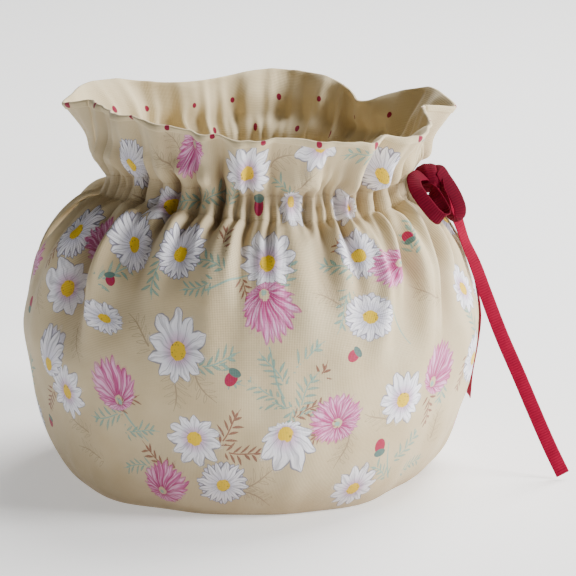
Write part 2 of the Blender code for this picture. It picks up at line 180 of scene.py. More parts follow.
def ribbon_strip(name, middles, facing):
    """A ribbon along its middle line, a little cupped."""
    along = unit(np.gradient(middles, axis=0))
    across = unit(np.cross(along, facing))
    out = np.cross(across, along)
    length = np.concatenate([[0], np.cumsum(np.linalg.norm(np.diff(middles, axis=0), axis=1))])
    t = np.array(RIBBON_ACROSS)
    thick = RIBBON_THICKNESS / 2 * np.where(abs(t) > 0.99, 0.4, 1.0)
    cup = RIBBON_CUP * (1 - t * t)
    side = middles[:, None] + across[:, None] * (t * RIBBON_WIDTH / 2)[None, :, None]
    upper = side + out[:, None] * (cup + thick)[None, :, None]
    lower = side + out[:, None] * (cup - thick)[None, :, None]
    rings = np.concatenate([upper, lower[:, ::-1]], axis=1)
    widths = (np.concatenate([t, t[::-1]]) / 2 + 0.5) * RIBBON_WIDTH
    index = np.arange(rings.shape[0] * rings.shape[1]).reshape(rings.shape[:2])
    after = np.roll(index, -1, axis=1)
    faces = np.stack([index[:-1], after[:-1], after[1:], index[1:]], axis=-1).reshape(-1, 4).tolist()
    faces += [index[0, ::-1].tolist(), index[-1].tolist()]
    return ribbon_solid(name, rings.reshape(-1, 3), faces, length, widths)


def new_material(name, surface):
    """A material, its node tree and its shader, with the shader's sockets set by name."""
    material = bpy.data.materials.new(name)
    material.use_nodes = True
    shader = material.node_tree.nodes["Principled BSDF"]
    for socket, value in surface.items():
        shader.inputs[socket].default_value = value
    return material, material.node_tree, shader


def ribbon_material(name, dark, middle, light):
    """Woven ribbon: painted shade between its ribs and a low satin sheen painted on their crests, paler woven
    edges.
    """
    material, tree, shader = new_material(name, {"Roughness": 0.75, "Specular IOR Level": 0.08})
    node = partial(add_node, tree)
    place = node("UVMap", uv_map="ribbon_length")
    parts = node("SeparateXYZ", place).node.outputs
    rib = node("Math", parts["X"], 2 * math.pi / (RIBBON_RIB * MM), operation="MULTIPLY")
    crest = node("MapRange", node("Math", rib, operation="SINE"), -1.0, 1.0, 0.0, 1.0)
    off = node("Math", parts["Y"], RIBBON_WIDTH * MM / 2, operation="SUBTRACT")
    off = node("Math", off, operation="ABSOLUTE")
    starts, full = ((RIBBON_WIDTH / 2 - inset) * MM for inset in RIBBON_SELVEDGE)
    selvedge = node("MapRange", off, starts, full, 0.0, 0.5)
    cloudy = node("TexNoise", node("TexCoord").node.outputs["Object"], 160.0, 2.0)
    # Painted sheen and shade: the rib crests are painted lighter and the gaps between them darker, over a
    # cloudy tone that varies at random.
    shade = node("Math", crest, 0.6, cloudy, operation="MULTIPLY_ADD")
    shade = node("MapRange", shade, 0.3, 1.25, 0.0, 1.0)
    colour = node("Mix", shade, linear(dark), linear(middle), data_type="RGBA")
    colour = node("Mix", selvedge, colour, linear(light), data_type="RGBA")
    tree.links.new(colour, shader.inputs["Base Color"])
    tree.links.new(node("Bump", 0.35, 0.0003, None, crest), shader.inputs["Normal"])
    return material


# Woven polyester grosgrain, on its outer side
grosgrain = ribbon_material("polyester_grosgrain", RIBBON_DARK, RIBBON_MIDDLE, RIBBON_LIGHT)

for name, table in (("tail_long", LONG_TAIL), ("tail_short", SHORT_TAIL)):
    middles, facing = curve_through(table, TAIL_STEPS)
    piece = ribbon_strip(name, middles, facing)
    piece.data.materials.append(grosgrain)
    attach(piece, "root")
    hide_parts("ribbon_" + name)

# Bow loops: the same ribbon turned back on itself on both sides of the knot. One loop falls to the front and
# shows its inner side in shade, and the other stands out to the right and shows its ribs.
FRONT_LOOP = (
    # x, y, z, face x, face y, face z
    (84.0, -25.2, 156.0, 0.2, -0.6, 0.8),
    (79.5, -33.0, 156.4, 0.1, -0.8, 0.6),
    (80.2, -38.8, 152.6, 0.2, -1.0, 0.3),
    (83.2, -41.4, 148.2, 0.2, -1.0, 0.2),
    (86.4, -42.2, 144.0, 0.2, -1.0, 0.1),
    (89.6, -42.0, 140.2, 0.3, -1.0, -0.1),
    (92.8, -40.2, 137.8, 0.6, -0.6, -0.5),
    (94.2, -37.0, 139.4, 0.4, 0.8, -0.3),
    (92.4, -34.4, 143.4, 0.0, 1.0, -0.1),
    (89.8, -31.4, 147.2, -0.1, 1.0, 0.2),
    (87.0, -26.0, 151.0, -0.1, 0.8, 0.6),
)
BACK_LOOP = (
    # x, y, z, face x, face y, face z
    (92.1, -21.4, 158.0, 0.3, -0.6, 0.8),
    (95.2, -21.8, 153.6, 0.4, -0.8, 0.5),
    (98.8, -22.4, 148.0, 0.5, -0.85, 0.2),
    (101.4, -22.6, 142.6, 0.5, -0.85, 0.0),
    (102.8, -22.6, 137.6, 0.5, -0.8, -0.2),
    (102.2, -22.4, 134.2, 0.3, -0.6, -0.7),
    (99.6, -22.2, 133.4, -0.4, -0.5, -0.7),
    (97.2, -22.2, 136.6, -0.8, -0.5, -0.1),
    (95.8, -22.2, 142.0, -0.8, -0.5, 0.2),
    (94.2, -22.0, 147.4, -0.8, -0.3, 0.4),
    (92.8, -21.6, 151.2, -0.9, -0.2, 0.3),
)
INTO_KNOT = 0.45            # share of the way from a loop's end to the knot's centre
LOOP_STEPS = 90
# Painted shade: the loops and the knot take a darker copy of the ribbon's material, as they lie in each
# other's shade.
SHADED_RIBBON_DARK = "#4a0014"
SHADED_RIBBON_MIDDLE = "#5c001a"
SHADED_RIBBON_LIGHT = "#66021e"
grosgrain_shaded = ribbon_material("polyester_grosgrain_shaded", SHADED_RIBBON_DARK, SHADED_RIBBON_MIDDLE, SHADED_RIBBON_LIGHT)
for name, table in (("loop_front", FRONT_LOOP), ("loop_back", BACK_LOOP)):
    ends = [
        tuple(a + (b - a) * INTO_KNOT for a, b in zip(row[:3], KNOT_CENTRE)) + row[3:]
        for row in (table[0], table[-1])
    ]
    middles, facing = curve_through((ends[0], *table, ends[1]), LOOP_STEPS)
    piece = ribbon_strip(name, middles, facing)
    piece.data.materials.append(grosgrain_shaded)
    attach(piece, "root")
    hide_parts("ribbon_" + name)

# Knot: the ribbon wound once round both loops and pulled tight. The wound turn is a band whose
# edges fold in, over the crushed ribbon inside it.
KNOT_SIZE = (10.8, 13.4, 14.6)
KNOT_TILT = 0.25            # how far the band leans, in radians


def knot_turn(name, centre, size, tilt):
    """One wound turn of ribbon round the knot's core, as a closed band with folded edges."""
    turns = np.linspace(0, 2 * np.pi, 49)[:-1]
    widths = np.linspace(-1, 1, 13)
    across = np.array([math.cos(tilt), 0.0, math.sin(tilt)])
    upright = np.array([-math.sin(tilt), 0.0, math.cos(tilt)])
    points = []
    for turn in turns:
        for w in widths:
            crease = 0.35 * math.cos(3 * math.pi * w + 0.6 * math.sin(turn))
            crease += 0.2 * math.sin(2 * turn + 4 * w)
            swell = (1 - 0.25 * w * w) * (1 + 0.05 * crease)
            front = -math.cos(turn) * size[1] / 2 * swell
            rise = math.sin(turn) * size[2] / 2 * swell
            middle = across * w * size[0] / 2
            points.append(np.array(centre) + middle + np.array([0, front, 0]) + upright * rise)
    index = np.arange(len(points)).reshape(len(turns), len(widths))
    after = np.roll(index, -1, axis=0)
    quads = np.stack([index[:, :-1], index[:, 1:], after[:, 1:], after[:, :-1]], axis=-1)
    faces = quads.reshape(-1, 4).tolist() + [index[:, 0].tolist(), index[::-1, -1].tolist()]
    places = (widths + 1) / 2 * RIBBON_WIDTH
    return ribbon_solid(name, np.array(points), faces, turns * size[2] / 2, places)


knot = knot_turn("knot", KNOT_CENTRE, KNOT_SIZE, KNOT_TILT)
# The knot takes the ribbon's material with painted shade, like the loops.
knot.data.materials.append(grosgrain_shaded)
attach(knot, "root")
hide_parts("ribbon_knot")

# Printed panels: the bag's outside, two like pieces of fine cotton, front and back, sewn to each
# other up the lower sides. The cloth is gathered at the neck by a channel between two rows of
# stitches, and stands up above it as a ruffle. Below, it is turned in under the hem.
LEVELS = (
    # height, radius, shift, follow, left gap, right gap, turn
    (0.0, 80.0, -3.0, 0.0, 0.15, 0.15, 0.0),        # hem's inner edge
    (0.0, 86.5, -3.0, 0.0, 0.15, 0.15, 0.0),        # hem's outer edge
    (6.0, 93.5, -2.6, 0.0, 0.15, 0.15, 0.0),
    (17.0, 100.5, -1.8, 0.0, 0.15, 0.15, 0.0),
    (34.0, 106.5, -0.8, 0.0, 0.15, 0.15, 0.0),
    (55.0, 111.3, 0.0, 0.0, 0.15, 0.15, 0.0),
    (76.0, 114.0, 0.0, 0.0, 0.15, 0.15, 0.0),       # widest
    (93.0, 111.3, 0.0, 0.0, 0.15, 5.0, 0.0),
    (107.0, 107.6, 0.0, 0.0, 0.15, 9.5, 0.0),
    (117.0, 104.4, 0.0, 0.1, 9.0, 10.0, 0.0),
    (127.0, 98.7, 0.0, 0.3, 15.0, 10.0, 0.0),
    (136.0, 91.5, 0.8, 0.6, 15.0, 9.0, 0.0),
    (141.5, 85.0, 1.8, 0.9, 11.0, 7.0, 0.0),
    (145.5, 78.0, 3.2, 1.0, 6.0, 4.5, 0.0),         # channel's foot
    (151.0, 76.7, 3.6, 1.0, 3.5, 3.5, 0.0),         # channel
    (156.5, 75.7, 3.8, 1.0, 3.5, 3.5, 0.5),         # channel's head
    (163.0, 77.0, 3.8, 1.0, 1.8, 1.8, 3.0),
    (172.0, 82.0, 3.8, 1.0, 0.9, 0.9, 5.0),
    (180.0, 88.0, 3.8, 1.0, 0.6, 0.6, 6.3),
    (187.0, 92.0, 3.8, 1.0, 0.6, 0.6, 7.0),         # rim
)
CHANNEL_FOOT, CHANNEL, CHANNEL_HEAD, RIM_LEVEL = 13, 14, 15, 19
DEPTH_SHARE = 0.96
GATHERS = 20
GAP_REACH = 0.22
SEAM_CLOSE = 0.14           # taken off each edge's gap, so that the sewn edges lie 0.02 mm apart
SEAM_DIP = 0.9              # depth of the valley along a seam
SEAM_DIP_WIDTH = 1.4
CLOTH_THICKNESS = 0.6
PANEL_WIDTH = 358.0         # cut width of one panel, on which the print lies
RUFFLE_SHARE = ((15, 0.0, 0.0), (16, 0.12, 0.2), (17, 0.40, 0.48), (18, 0.72, 0.76), (19, 1.0, 1.0))
NECK = (
    # angle, height of the channel's head
    (0, 152.0), (45, 155.0), (90, 156.0), (135, 154.5), (180, 151.5),
    (205, 157.0), (228, 160.5), (250, 158.0), (280, 156.0), (305, 154.5), (335, 154.5), (350, 153.5),
)
RIM = (
    # angle, radius, height
    (3, 97, 183.5), (12, 95, 186), (24, 92, 187), (36, 85, 181), (47, 76, 176), (58, 83, 181),
    (70, 90, 184), (85, 93, 185), (96, 88, 184), (107, 81, 183), (124, 82, 183), (140, 94, 186),
    (152, 98, 187), (166, 95, 187), (177, 97, 185), (187, 84, 190), (200, 80, 189), (213, 82, 190),
    (227, 84, 191), (247, 83, 188), (258, 86, 187), (270, 90, 186), (282, 89, 187), (291, 94, 185),
    (302, 98, 184), (312, 95, 184), (322, 99, 183), (331, 95, 184), (342, 86, 186), (353, 83, 187),
)
FOLDS = (
    # angle at the neck, angle at the low end, half width, rise, top height, low height
    (226, 225, 4.5, 4.5, 146, 78),
    (217, 216, 5.5, -5.0, 146, 72),
    (238, 236, 4.0, -1.8, 146, 90),
    (318, 302, 3.6, 3.6, 144, 72),
    (323, 308, 4.0, -3.4, 144, 76),
    (333, 316, 3.6, 3.8, 147, 60),
    (340, 323, 4.5, -4.2, 147, 56),
    (283, 286, 4.5, 2.2, 145, 72),
    (290, 293, 4.5, -2.0, 145, 84),
    (258, 260, 4.5, 1.8, 145, 66),
    (204, 201, 4.5, 2.4, 132, 70),
    (40, 46, 4.5, 3.6, 146, 74),
    (49, 55, 5.0, -3.6, 146, 72),
    (72, 74, 4.5, 2.2, 146, 84),
    (98, 95, 4.5, -2.0, 146, 80),
    (118, 114, 4.5, 3.4, 146, 68),
    (126, 122, 5.0, -3.4, 146, 74),
    (150, 146, 4.5, 2.6, 140, 70),
    # finer creases beside the main folds, which the part's own solids leave out
    (227, 226, 1.9, 2.2, 147, 84),
    (222, 221, 2.0, -2.6, 147, 80),
    (233, 232, 2.2, -1.6, 146, 96),
    (243, 244, 2.2, 1.6, 146, 104),
    (250, 250, 1.9, -1.6, 146, 112),
    (264, 263, 1.9, 1.5, 146, 108),
    (270, 270, 2.2, -1.5, 146, 96),
    (276, 277, 1.9, 1.6, 146, 104),
    (297, 294, 2.0, 1.8, 146, 98),
    (302, 298, 1.8, -2.0, 146, 92),
    (311, 303, 1.6, 2.4, 146, 80),
    (315, 306, 1.6, -2.4, 146, 78),
    (327, 315, 1.7, 2.2, 146, 74),
    (331, 319, 1.6, -2.4, 147, 66),
    (345, 332, 2.0, 2.0, 146, 84),
    (350, 338, 2.0, -2.0, 146, 86),
    (20, 22, 2.0, -1.8, 146, 96),
    (33, 37, 2.0, 1.8, 146, 100),
    (60, 62, 2.0, -1.8, 146, 96),
    (84, 85, 2.2, 1.8, 146, 104),
    (108, 106, 2.0, -1.8, 146, 92),
    (136, 133, 2.0, 1.8, 146, 98),
    (160, 158, 2.2, -1.8, 142, 96),
)
GATHER_RISE = (
    # level, rise
    (7, 0.0), (8, 0.15), (9, 0.35), (10, 0.6), (11, 1.0), (12, 1.4), (13, 1.5),
    (14, 1.5), (15, 1.5), (16, 1.4), (17, 1.1), (18, 0.7), (19, 0.4),
)
GATHER_SWINGS = (
    # rate, size, start
    (19, 0.3, 1),
    (41, 0.2, 2),
)
PINCHES = (
    # angle, half width, depth, low level, high level
    (196, 1.5, 2.4, 12.0, 16.6), (208, 1.4, 2.6, 11.6, 17.0), (216, 1.3, 2.2, 12.4, 16.4),
    (223, 1.6, 3.8, 11.2, 17.2), (231, 1.2, 2.2, 12.6, 16.2), (237, 1.5, 3.4, 11.4, 17.0),
    (245, 1.2, 2.4, 12.4, 16.8), (256, 1.4, 3.6, 11.8, 17.4), (262, 1.4, 3.4, 12.0, 17.2),
    (270, 1.2, 1.8, 12.6, 16.0), (278, 1.3, 2.2, 12.2, 16.4), (287.5, 1.6, 3.4, 11.4, 17.0),
    (296, 1.4, 3.2, 11.6, 17.2), (306, 1.5, 3.6, 11.2, 17.0), (312, 1.2, 2.4, 12.0, 16.4),
    (318.5, 1.5, 4.0, 11.0, 17.2), (327, 1.5, 3.6, 11.0, 17.0), (336, 1.3, 2.8, 11.6, 16.6),
    (345, 1.3, 2.4, 12.0, 16.6), (14, 1.4, 2.6, 12.0, 16.8), (25, 1.5, 3.2, 11.6, 17.0),
    (37, 1.4, 2.8, 11.8, 16.8), (46, 1.3, 2.4, 12.4, 16.4), (57, 1.6, 3.6, 11.4, 17.2),
    (69, 1.4, 2.8, 12.0, 16.8), (81, 1.5, 3.4, 11.6, 17.0), (90, 1.3, 2.2, 12.4, 16.4),
    (101, 1.5, 3.4, 11.4, 17.2), (112, 1.4, 2.6, 12.0, 16.6), (121, 1.5, 3.6, 11.2, 17.0),
    (131, 1.3, 2.4, 12.4, 16.6), (142, 1.5, 3.2, 11.6, 17.0), (153, 1.4, 2.8, 12.0, 16.8),
    (166, 1.4, 2.6, 12.0, 16.6),
)
PINCH_DEPTH = 1.5
FOLD_FULLNESS = 1.3
PUFFS = (
    # level, half width, how much fuller the gathers are there
    (14, 0.75, 0.5), (12.2, 1.1, 0.45), (16.2, 0.9, 0.45),
)
RUFFLE_BULGE = (16.4, 0.6)      # level and half width of the ruffle's overhanging foot
CHANNEL_RECESS = (14.2, 0.9, 2.2)   # level, half width and depth
HEM_WAVES = (
    # count, size, start
    (5, 1.3, 40), (8, 0.9, 130), (13, 0.6, 15),
)
FLUTES = (
    # angle, half width, rise
    (192, 5.0, 1.8), (202, 4.5, -2.2), (212, 5.0, 2.2), (222, 4.5, -2.4), (233, 5.5, 2.0), (244, 4.5, -2.2),
    (251, 3.5, 2.6), (257, 3.2, -3.4), (264, 4.0, 2.6), (275, 5.0, -1.6), (286, 5.0, 1.8), (296, 4.0, -2.6),
    (303, 3.6, 2.6), (310, 3.6, -2.8), (318, 4.5, 2.4), (329, 4.0, -2.2), (339, 4.0, 2.0),
    (14, 5.0, -2.0), (27, 5.0, 2.4), (38, 5.0, -2.2), (52, 6.0, 2.2), (66, 5.0, -2.4), (78, 5.0, 2.2),
    (92, 5.0, -2.4), (103, 5.0, 2.0), (116, 6.0, -2.2), (131, 5.0, 2.2), (145, 6.0, -2.0), (160, 5.0, 2.0),
)
# Creases too fine for the part's own solids: waves over the cloth, in millimetres
CREASES = (
    # across, up, size, start
    (34, 180, 0.28, 0.3), (-57, 120, 0.26, 2.1), (23, -95, 0.18, 4.0), (90, 60, 0.2, 1.2),
    (-31, -70, 0.16, 5.1), (17, 130, 0.12, 0.9), (45, -38, 0.14, 3.3), (-75, 44, 0.16, 2.7),
)
PANEL_GRID = (285, 166)


def around(angle, table, column):
    """A column of a table of angles, read all the way round."""
    angles = [row[0] for row in table]
    values = [row[column] for row in table]
    knots = [a + turn for turn in (-360, 0, 360) for a in angles]
    return smooth(np.mod(angle, 360.0), knots, values * 3)


def at_level(level, column):
    """A column of the level table, read between its levels."""
    return smooth(level, np.arange(RIM_LEVEL + 1), [row[column] for row in LEVELS])


def along_levels(level, columns):
    """Soft curve over the levels, with a value of its own at each point of the grid."""
    columns = np.stack([np.broadcast_to(c, level.shape) for c in columns])
    slopes = np.gradient(columns, axis=0)
    i = np.clip(np.floor(level).astype(int), 0, RIM_LEVEL - 1)
    t = level - i
    a, b = (np.take_along_axis(columns, (i + k)[None], 0)[0] for k in (0, 1))
    da, db = (np.take_along_axis(slopes, (i + k)[None], 0)[0] for k in (0, 1))
    start = (1 + 2 * t) * (1 - t) ** 2 * a + t * (1 - t) ** 2 * da
    return start + t * t * (3 - 2 * t) * b - t * t * (1 - t) * db


def profile(angle, level):
    """Radius and height of the bag's outer face before folds, at angles and levels."""
    neck_rise = around(angle, NECK, 1) - LEVELS[CHANNEL_HEAD][0]
    hem_wave = sum(size * np.sin(np.radians(count * angle + start)) for count, size, start in HEM_WAVES)
    radii = [row[1] + hem_wave * max(0.0, 1 - row[0] / 45.0) for row in LEVELS]
    heights = [row[0] + row[3] * neck_rise for row in LEVELS]
    rim_radius = around(angle, RIM, 1)
    rim_height = around(angle, RIM, 2)
    for i, out_share, up_share in RUFFLE_SHARE:
        radii[i] = radii[CHANNEL_HEAD] + (rim_radius - radii[CHANNEL_HEAD]) * out_share
        heights[i] = heights[CHANNEL_HEAD] + (rim_height - heights[CHANNEL_HEAD]) * up_share
    return along_levels(level, radii), along_levels(level, heights)


def degrees_from(angle, middle):
    """How far angles lie from a middle one, from -180 to 180."""
    return np.mod(angle - middle + 180.0, 360.0) - 180.0


def bell(off, width):
    """1 in the middle, falling off softly on both sides."""
    return np.exp(-((off / width) ** 2))


def folds(angle, height):
    """How far the long soft folds stand out."""
    rise = np.zeros_like(angle)
    for top_angle, low_angle, half_width, size, top, low in FOLDS:
        down = np.clip((top - height) / (top - low), 0.0, 1.0)
        middle = top_angle + (low_angle - top_angle) * down
        near = bell(degrees_from(angle, middle), half_width * (0.7 + 0.9 * down))
        rise += FOLD_FULLNESS * size * np.sin(np.pi * down ** 0.55) * near
    return rise


def pinches(angle, level):
    """The deep, narrow valleys where the drawn channel crumples, each of its own length."""
    rise = np.zeros_like(angle)
    for middle, width, depth, low, high in PINCHES:
        run = np.clip((level - low) / (high - low), 0, 1)
        off = degrees_from(angle, middle) + 0.3 * np.sin(2.1 * level + middle)
        near = bell(off, width) - 0.35 * bell(off, 2.6 * width)
        rise -= PINCH_DEPTH * depth * np.sin(np.pi * run) ** 0.8 * near
    return rise


def gathers(share, level, panel):
    """The narrow gathers at the neck, with sharp valleys and small puckers along the stitches."""
    size = smooth(level, [row[0] for row in GATHER_RISE], [row[1] for row in GATHER_RISE])
    swing = 0.95 + sum(s * np.sin(rate * share + start * panel) for rate, s, start in GATHER_SWINGS)
    drift = 0.6 * np.sin(2 * np.pi * 3 * share + 1.1 + panel)
    drift = drift + 0.4 * np.sin(2 * np.pi * 8 * share + 2 * panel)
    turn = 2 * np.pi * GATHERS * share + drift
    wave = np.cos(turn) - 0.3 * np.cos(2 * turn)
    puff = 1 + sum(more * bell(level - middle, width) for middle, width, more in PUFFS)
    fall = 0.75 * np.sin(2 * np.pi * 4.3 * share + 1.7 * panel + 0.6) * np.clip((12 - level) / 2, 0, 1)
    rise = size * swing * wave * puff * (1 + fall)
    for line in (CHANNEL_FOOT, CHANNEL_HEAD):
        pucker = 0.25 * np.cos(2 * np.pi * 41 * share + 3 * np.sin(11 * share)) - 0.1
        rise += bell(level - line, 0.42) * pucker - 0.35 * bell(level - line, 0.25)
    return rise


def flutes(angle, level):
    """The soft pipes of the ruffle, widest half way up, and the ruffle's foot over the channel."""
    up = np.clip((level - CHANNEL_HEAD) / (RIM_LEVEL - CHANNEL_HEAD), 0, 1)
    share = 1.1 * np.sqrt(4 * up * (1 - up)) + 0.35 * up
    rise = sum(size * bell(degrees_from(angle, middle), width) for middle, width, size in FLUTES)
    bulge = 2.8 + 1.3 * np.sin(np.radians(9 * angle + 40)) + 0.8 * np.sin(np.radians(23 * angle))
    bulge = bulge * bell(level - RUFFLE_BULGE[0], RUFFLE_BULGE[1])
    return rise * share + bulge - CHANNEL_RECESS[2] * bell(level - CHANNEL_RECESS[0], CHANNEL_RECESS[1])


def panel_angle(share, level, panel):
    """Angle of a point that lies the given share along the panel."""
    radius = at_level(level, 1)
    left = np.degrees(np.maximum(at_level(level, 4) - SEAM_CLOSE, 0.01) / radius)
    right = np.degrees(np.maximum(at_level(level, 5) - SEAM_CLOSE, 0.01) / radius)
    turn = np.maximum(at_level(level, 6), 0.0)
    near_start = np.clip(1 - share / GAP_REACH, 0, 1) ** 2
    near_end = np.clip(1 - (1 - share) / GAP_REACH, 0, 1) ** 2
    if panel == 0:
        return 180 + 180 * share + (turn + left) * near_start - (turn + right) * near_end
    return 180 * share + (right - turn) * near_start + (turn - left) * near_end


def creases(across, up, level):
    """Shallow creases of soft cotton, none at the hem."""
    rise = sum(s * np.sin(2 * np.pi * (across / a + up / b) + start) for a, b, s, start in CREASES)
    return rise * np.clip((level - 1) / 2, 0, 1) * np.clip((RIM_LEVEL - level) / 2 + 0.4, 0, 1)


def cloth_shade(panel, share, level):
    """How much painted shade darkens the cloth in the folds, along the channel and near the hem, from 0 to 1:
    the room's light that these keep off.
    """
    angle = panel_angle(share, level, panel)
    height = profile(angle, level)[1]
    deep = -gathers(share, level, panel) - pinches(angle, level) - 0.8 * folds(angle, height)
    deep = np.clip(deep / 6.0, 0, 1) + 0.35 * bell(level - 14.6, 1.1)
    return np.clip(deep + 0.6 * np.clip(1 - height / 50.0, 0, 1) ** 1.5, 0, 1)


def cloth_point(panel, share, level, inward, beyond=0.0):
    """Points of the cloth in millimetres, set inward by a layer's depth and past its rim."""
    angle = panel_angle(share, level, panel)
    radius, height = profile(angle, level)
    raised = folds(angle, height) + gathers(share, level, panel) + flutes(angle, level)
    raised += pinches(angle, level)
    raised += creases(share * PANEL_WIDTH + 190 * panel, up_at(level), level)
    edge = np.minimum(share, 1 - share) * PANEL_WIDTH
    raised -= SEAM_DIP * bell(edge, SEAM_DIP_WIDTH) * np.clip(level, 0, 1)
    radius_up, height_up = profile(angle, np.minimum(level + 0.02, RIM_LEVEL))
    radius_down, height_down = profile(angle, np.maximum(level - 0.02, 0))
    run, climb = radius_up - radius_down, height_up - height_down
    length = np.hypot(run, climb)
    run, climb = run / length, climb / length
    radius = radius + climb * (raised - inward) + run * beyond
    height = np.maximum(height, 0.0) - run * (raised - inward) + climb * beyond
    x = radius * np.cos(np.radians(angle)) + at_level(level, 2)
    y = radius * np.sin(np.radians(angle)) * DEPTH_SHARE
    return np.stack([x, y, np.maximum(height, 0.0)], axis=-1)


fine_levels = np.linspace(0, RIM_LEVEL, 1901)
side_angles, side_levels = np.meshgrid(np.arange(0.0, 360.0, 15.0), fine_levels, indexing="ij")
side_radius, side_height = profile(side_angles, side_levels)
side_steps = np.hypot(np.diff(side_radius.mean(axis=0)), np.diff(side_height.mean(axis=0)))
side_length = np.concatenate([[0], np.cumsum(side_steps)])


def up_at(level):
    """Millimetres along the cloth from the hem's inner edge up to a level."""
    return np.interp(level, fine_levels, side_length)


def level_up(length):
    """Level that lies the given number of millimetres up the cloth."""
    return np.interp(length, side_length, fine_levels)


def grid_object(name, outer, inner, flat, marks, shade):
    """A closed sheet from two grids of points, with its cut shape as UV map, print and painted shade."""
    columns, rows = outer.shape[:2]
    count = columns * rows
    points = np.concatenate([outer.reshape(-1, 3), inner.reshape(-1, 3)]) * MM
    index = np.arange(count).reshape(columns, rows)
    a, b, c, d = index[:-1, :-1], index[1:, :-1], index[1:, 1:], index[:-1, 1:]
    front = np.stack([a, b, c, d], axis=-1).reshape(-1, 4)
    back = front[:, ::-1] + count
    ring = np.concatenate([index[:-1, 0], index[-1, :-1], index[:0:-1, -1], index[0, :0:-1]])
    after = np.roll(ring, -1)
    edge = np.stack([after, ring, ring + count, after + count], axis=-1)
    faces = np.concatenate([front, back, edge])
    mesh = bpy.data.meshes.new(name)
    mesh.from_pydata(points.tolist(), [], faces.tolist())
    layer = mesh.uv_layers.new(name="cloth_flat")
    place = flat.reshape(-1, 2)[faces.reshape(-1) % count]
    layer.data.foreach_set("uv", (place * MM).reshape(-1))
    for label, values in marks.items():
        corners = np.zeros((len(faces), 4, 3))
        corners[:len(front)] = values
        attribute = mesh.attributes.new(label, "FLOAT_VECTOR", "CORNER")
        attribute.data.foreach_set("vector", corners.reshape(-1))
    attribute = mesh.attributes.new("fold_shade", "FLOAT", "POINT")
    attribute.data.foreach_set("value", np.tile(shade.reshape(-1), 2))
    mesh.update()
    return linked_object(name, mesh)


# The print's flowers on the front panel. x and z say where each lies as seen from the front. Its
# petals are counted, and 100 more is a pink flower, 200 a bud. A lean of 0 is a flower seen from
# above, and near 1 one seen from the side.
FRONT_FLOWERS = (
    # x, z, radius, turn, width, lean, petals, seed
    (-84, 133, 16.5, 20, 0.95, 0.15, 17, 0.12),
    (-89, 108, 16.5, 10, 1.0, 0.10, 8, 0.34),
    (-56, 133, 18.0, 50, 0.62, 0.10, 14, 0.55),
    (-33, 133, 15.5, 0, 0.95, 0.15, 16, 0.71),
    (-35, 90, 19.5, 15, 0.85, 0.15, 11, 0.23),
    (-2, 172, 17.0, 0, 1.0, 0.20, 12, 0.43),
    (-59, 167, 15.5, 30, 0.7, 0.10, 16, 0.62),
    (8, 131, 17.0, 0, 1.0, 0.25, 11, 0.91),
    (50, 129, 15.5, 40, 0.9, 0.20, 15, 0.37),
    (56, 101, 15.0, 80, 0.85, 0.10, 13, 0.08),
    (-26, 43, 16.0, 200, 0.95, 0.15, 11, 0.66),
    (-14, 20, 15.0, 30, 1.0, 0.10, 17, 0.81),
    (73, 59, 16.0, 10, 0.95, 0.10, 12, 0.49),
    (104, 100, 15.5, 60, 0.9, 0.10, 12, 0.18),
    (17, 39, 16.5, 190, 0.95, 0.75, 12, 0.27),
    (-90, 58, 15.5, 0, 0.95, 0.10, 11, 0.58),
    (-72, 100, 15.0, 75, 0.5, 0.20, 13, 0.94),
    (-98, 76, 15.0, -20, 0.8, 0.75, 14, 0.39),
    (50, 14, 15.0, 0, 1.0, 0.10, 12, 0.76),
    (31, 180, 14.0, 160, 1.0, 0.40, 10, 0.28),
    (63, 166, 14.0, 20, 0.9, 0.20, 16, 0.64),
    (44, 150, 12.0, 70, 0.8, 0.60, 10, 0.13),
    (-44, 150, 13.0, 100, 0.8, 0.60, 11, 0.83),
    (20, 148, 12.0, 200, 0.9, 0.60, 12, 0.53),
    (-72, 131, 15.0, 60, 0.8, 0.75, 117, 0.22),
    (-28, 178, 17.0, 150, 0.6, 0.55, 115, 0.47),
    (9, 107, 15.5, 200, 1.0, 0.75, 118, 0.63),
    (-67, 69, 15.0, 20, 0.95, 0.75, 117, 0.87),
    (-41, 19, 15.0, -30, 0.95, 0.55, 117, 0.31),
    (66, 122, 15.0, 100, 0.7, 0.65, 116, 0.52),
    (92, 70, 15.5, -40, 0.9, 0.75, 118, 0.15),
    (41, 54, 15.0, 20, 1.0, 0.30, 118, 0.69),
    (110, 64, 15.0, 30, 0.95, 0.1, 14, 0.33),
    (105, 34, 14.0, 0, 0.95, 0.5, 117, 0.57),
    (101, 134, 12.0, 60, 0.9, 0.1, 15, 0.77),
    (-112, 66, 15.0, 10, 0.95, 0.1, 12, 0.21),
    (-105, 34, 14.0, 50, 0.95, 0.1, 16, 0.41),
    (-106, 112, 13.0, 0, 0.9, 0.5, 116, 0.61),
    (-109, 91, 5.5, 0, 1.0, 0.0, 200, 0.3),
    (-67, 118, 4.0, 200, 1.0, 0.0, 200, 0.5),
    (-99, 35, 5.0, 150, 1.0, 0.0, 200, 0.7),
    (4, 153, 7.0, 180, 1.0, 0.0, 200, 0.2),
    (-9, 77, 6.0, 150, 1.0, 0.0, 200, 0.4),
    (50, 86, 5.5, 120, 1.0, 0.0, 200, 0.6),
    (62, 34, 6.5, 10, 1.0, 0.0, 200, 0.8),
    (79, 150, 5.0, 60, 1.0, 0.0, 200, 0.9),
    (76, 131, 4.5, 0, 1.0, 0.0, 200, 0.35),
)
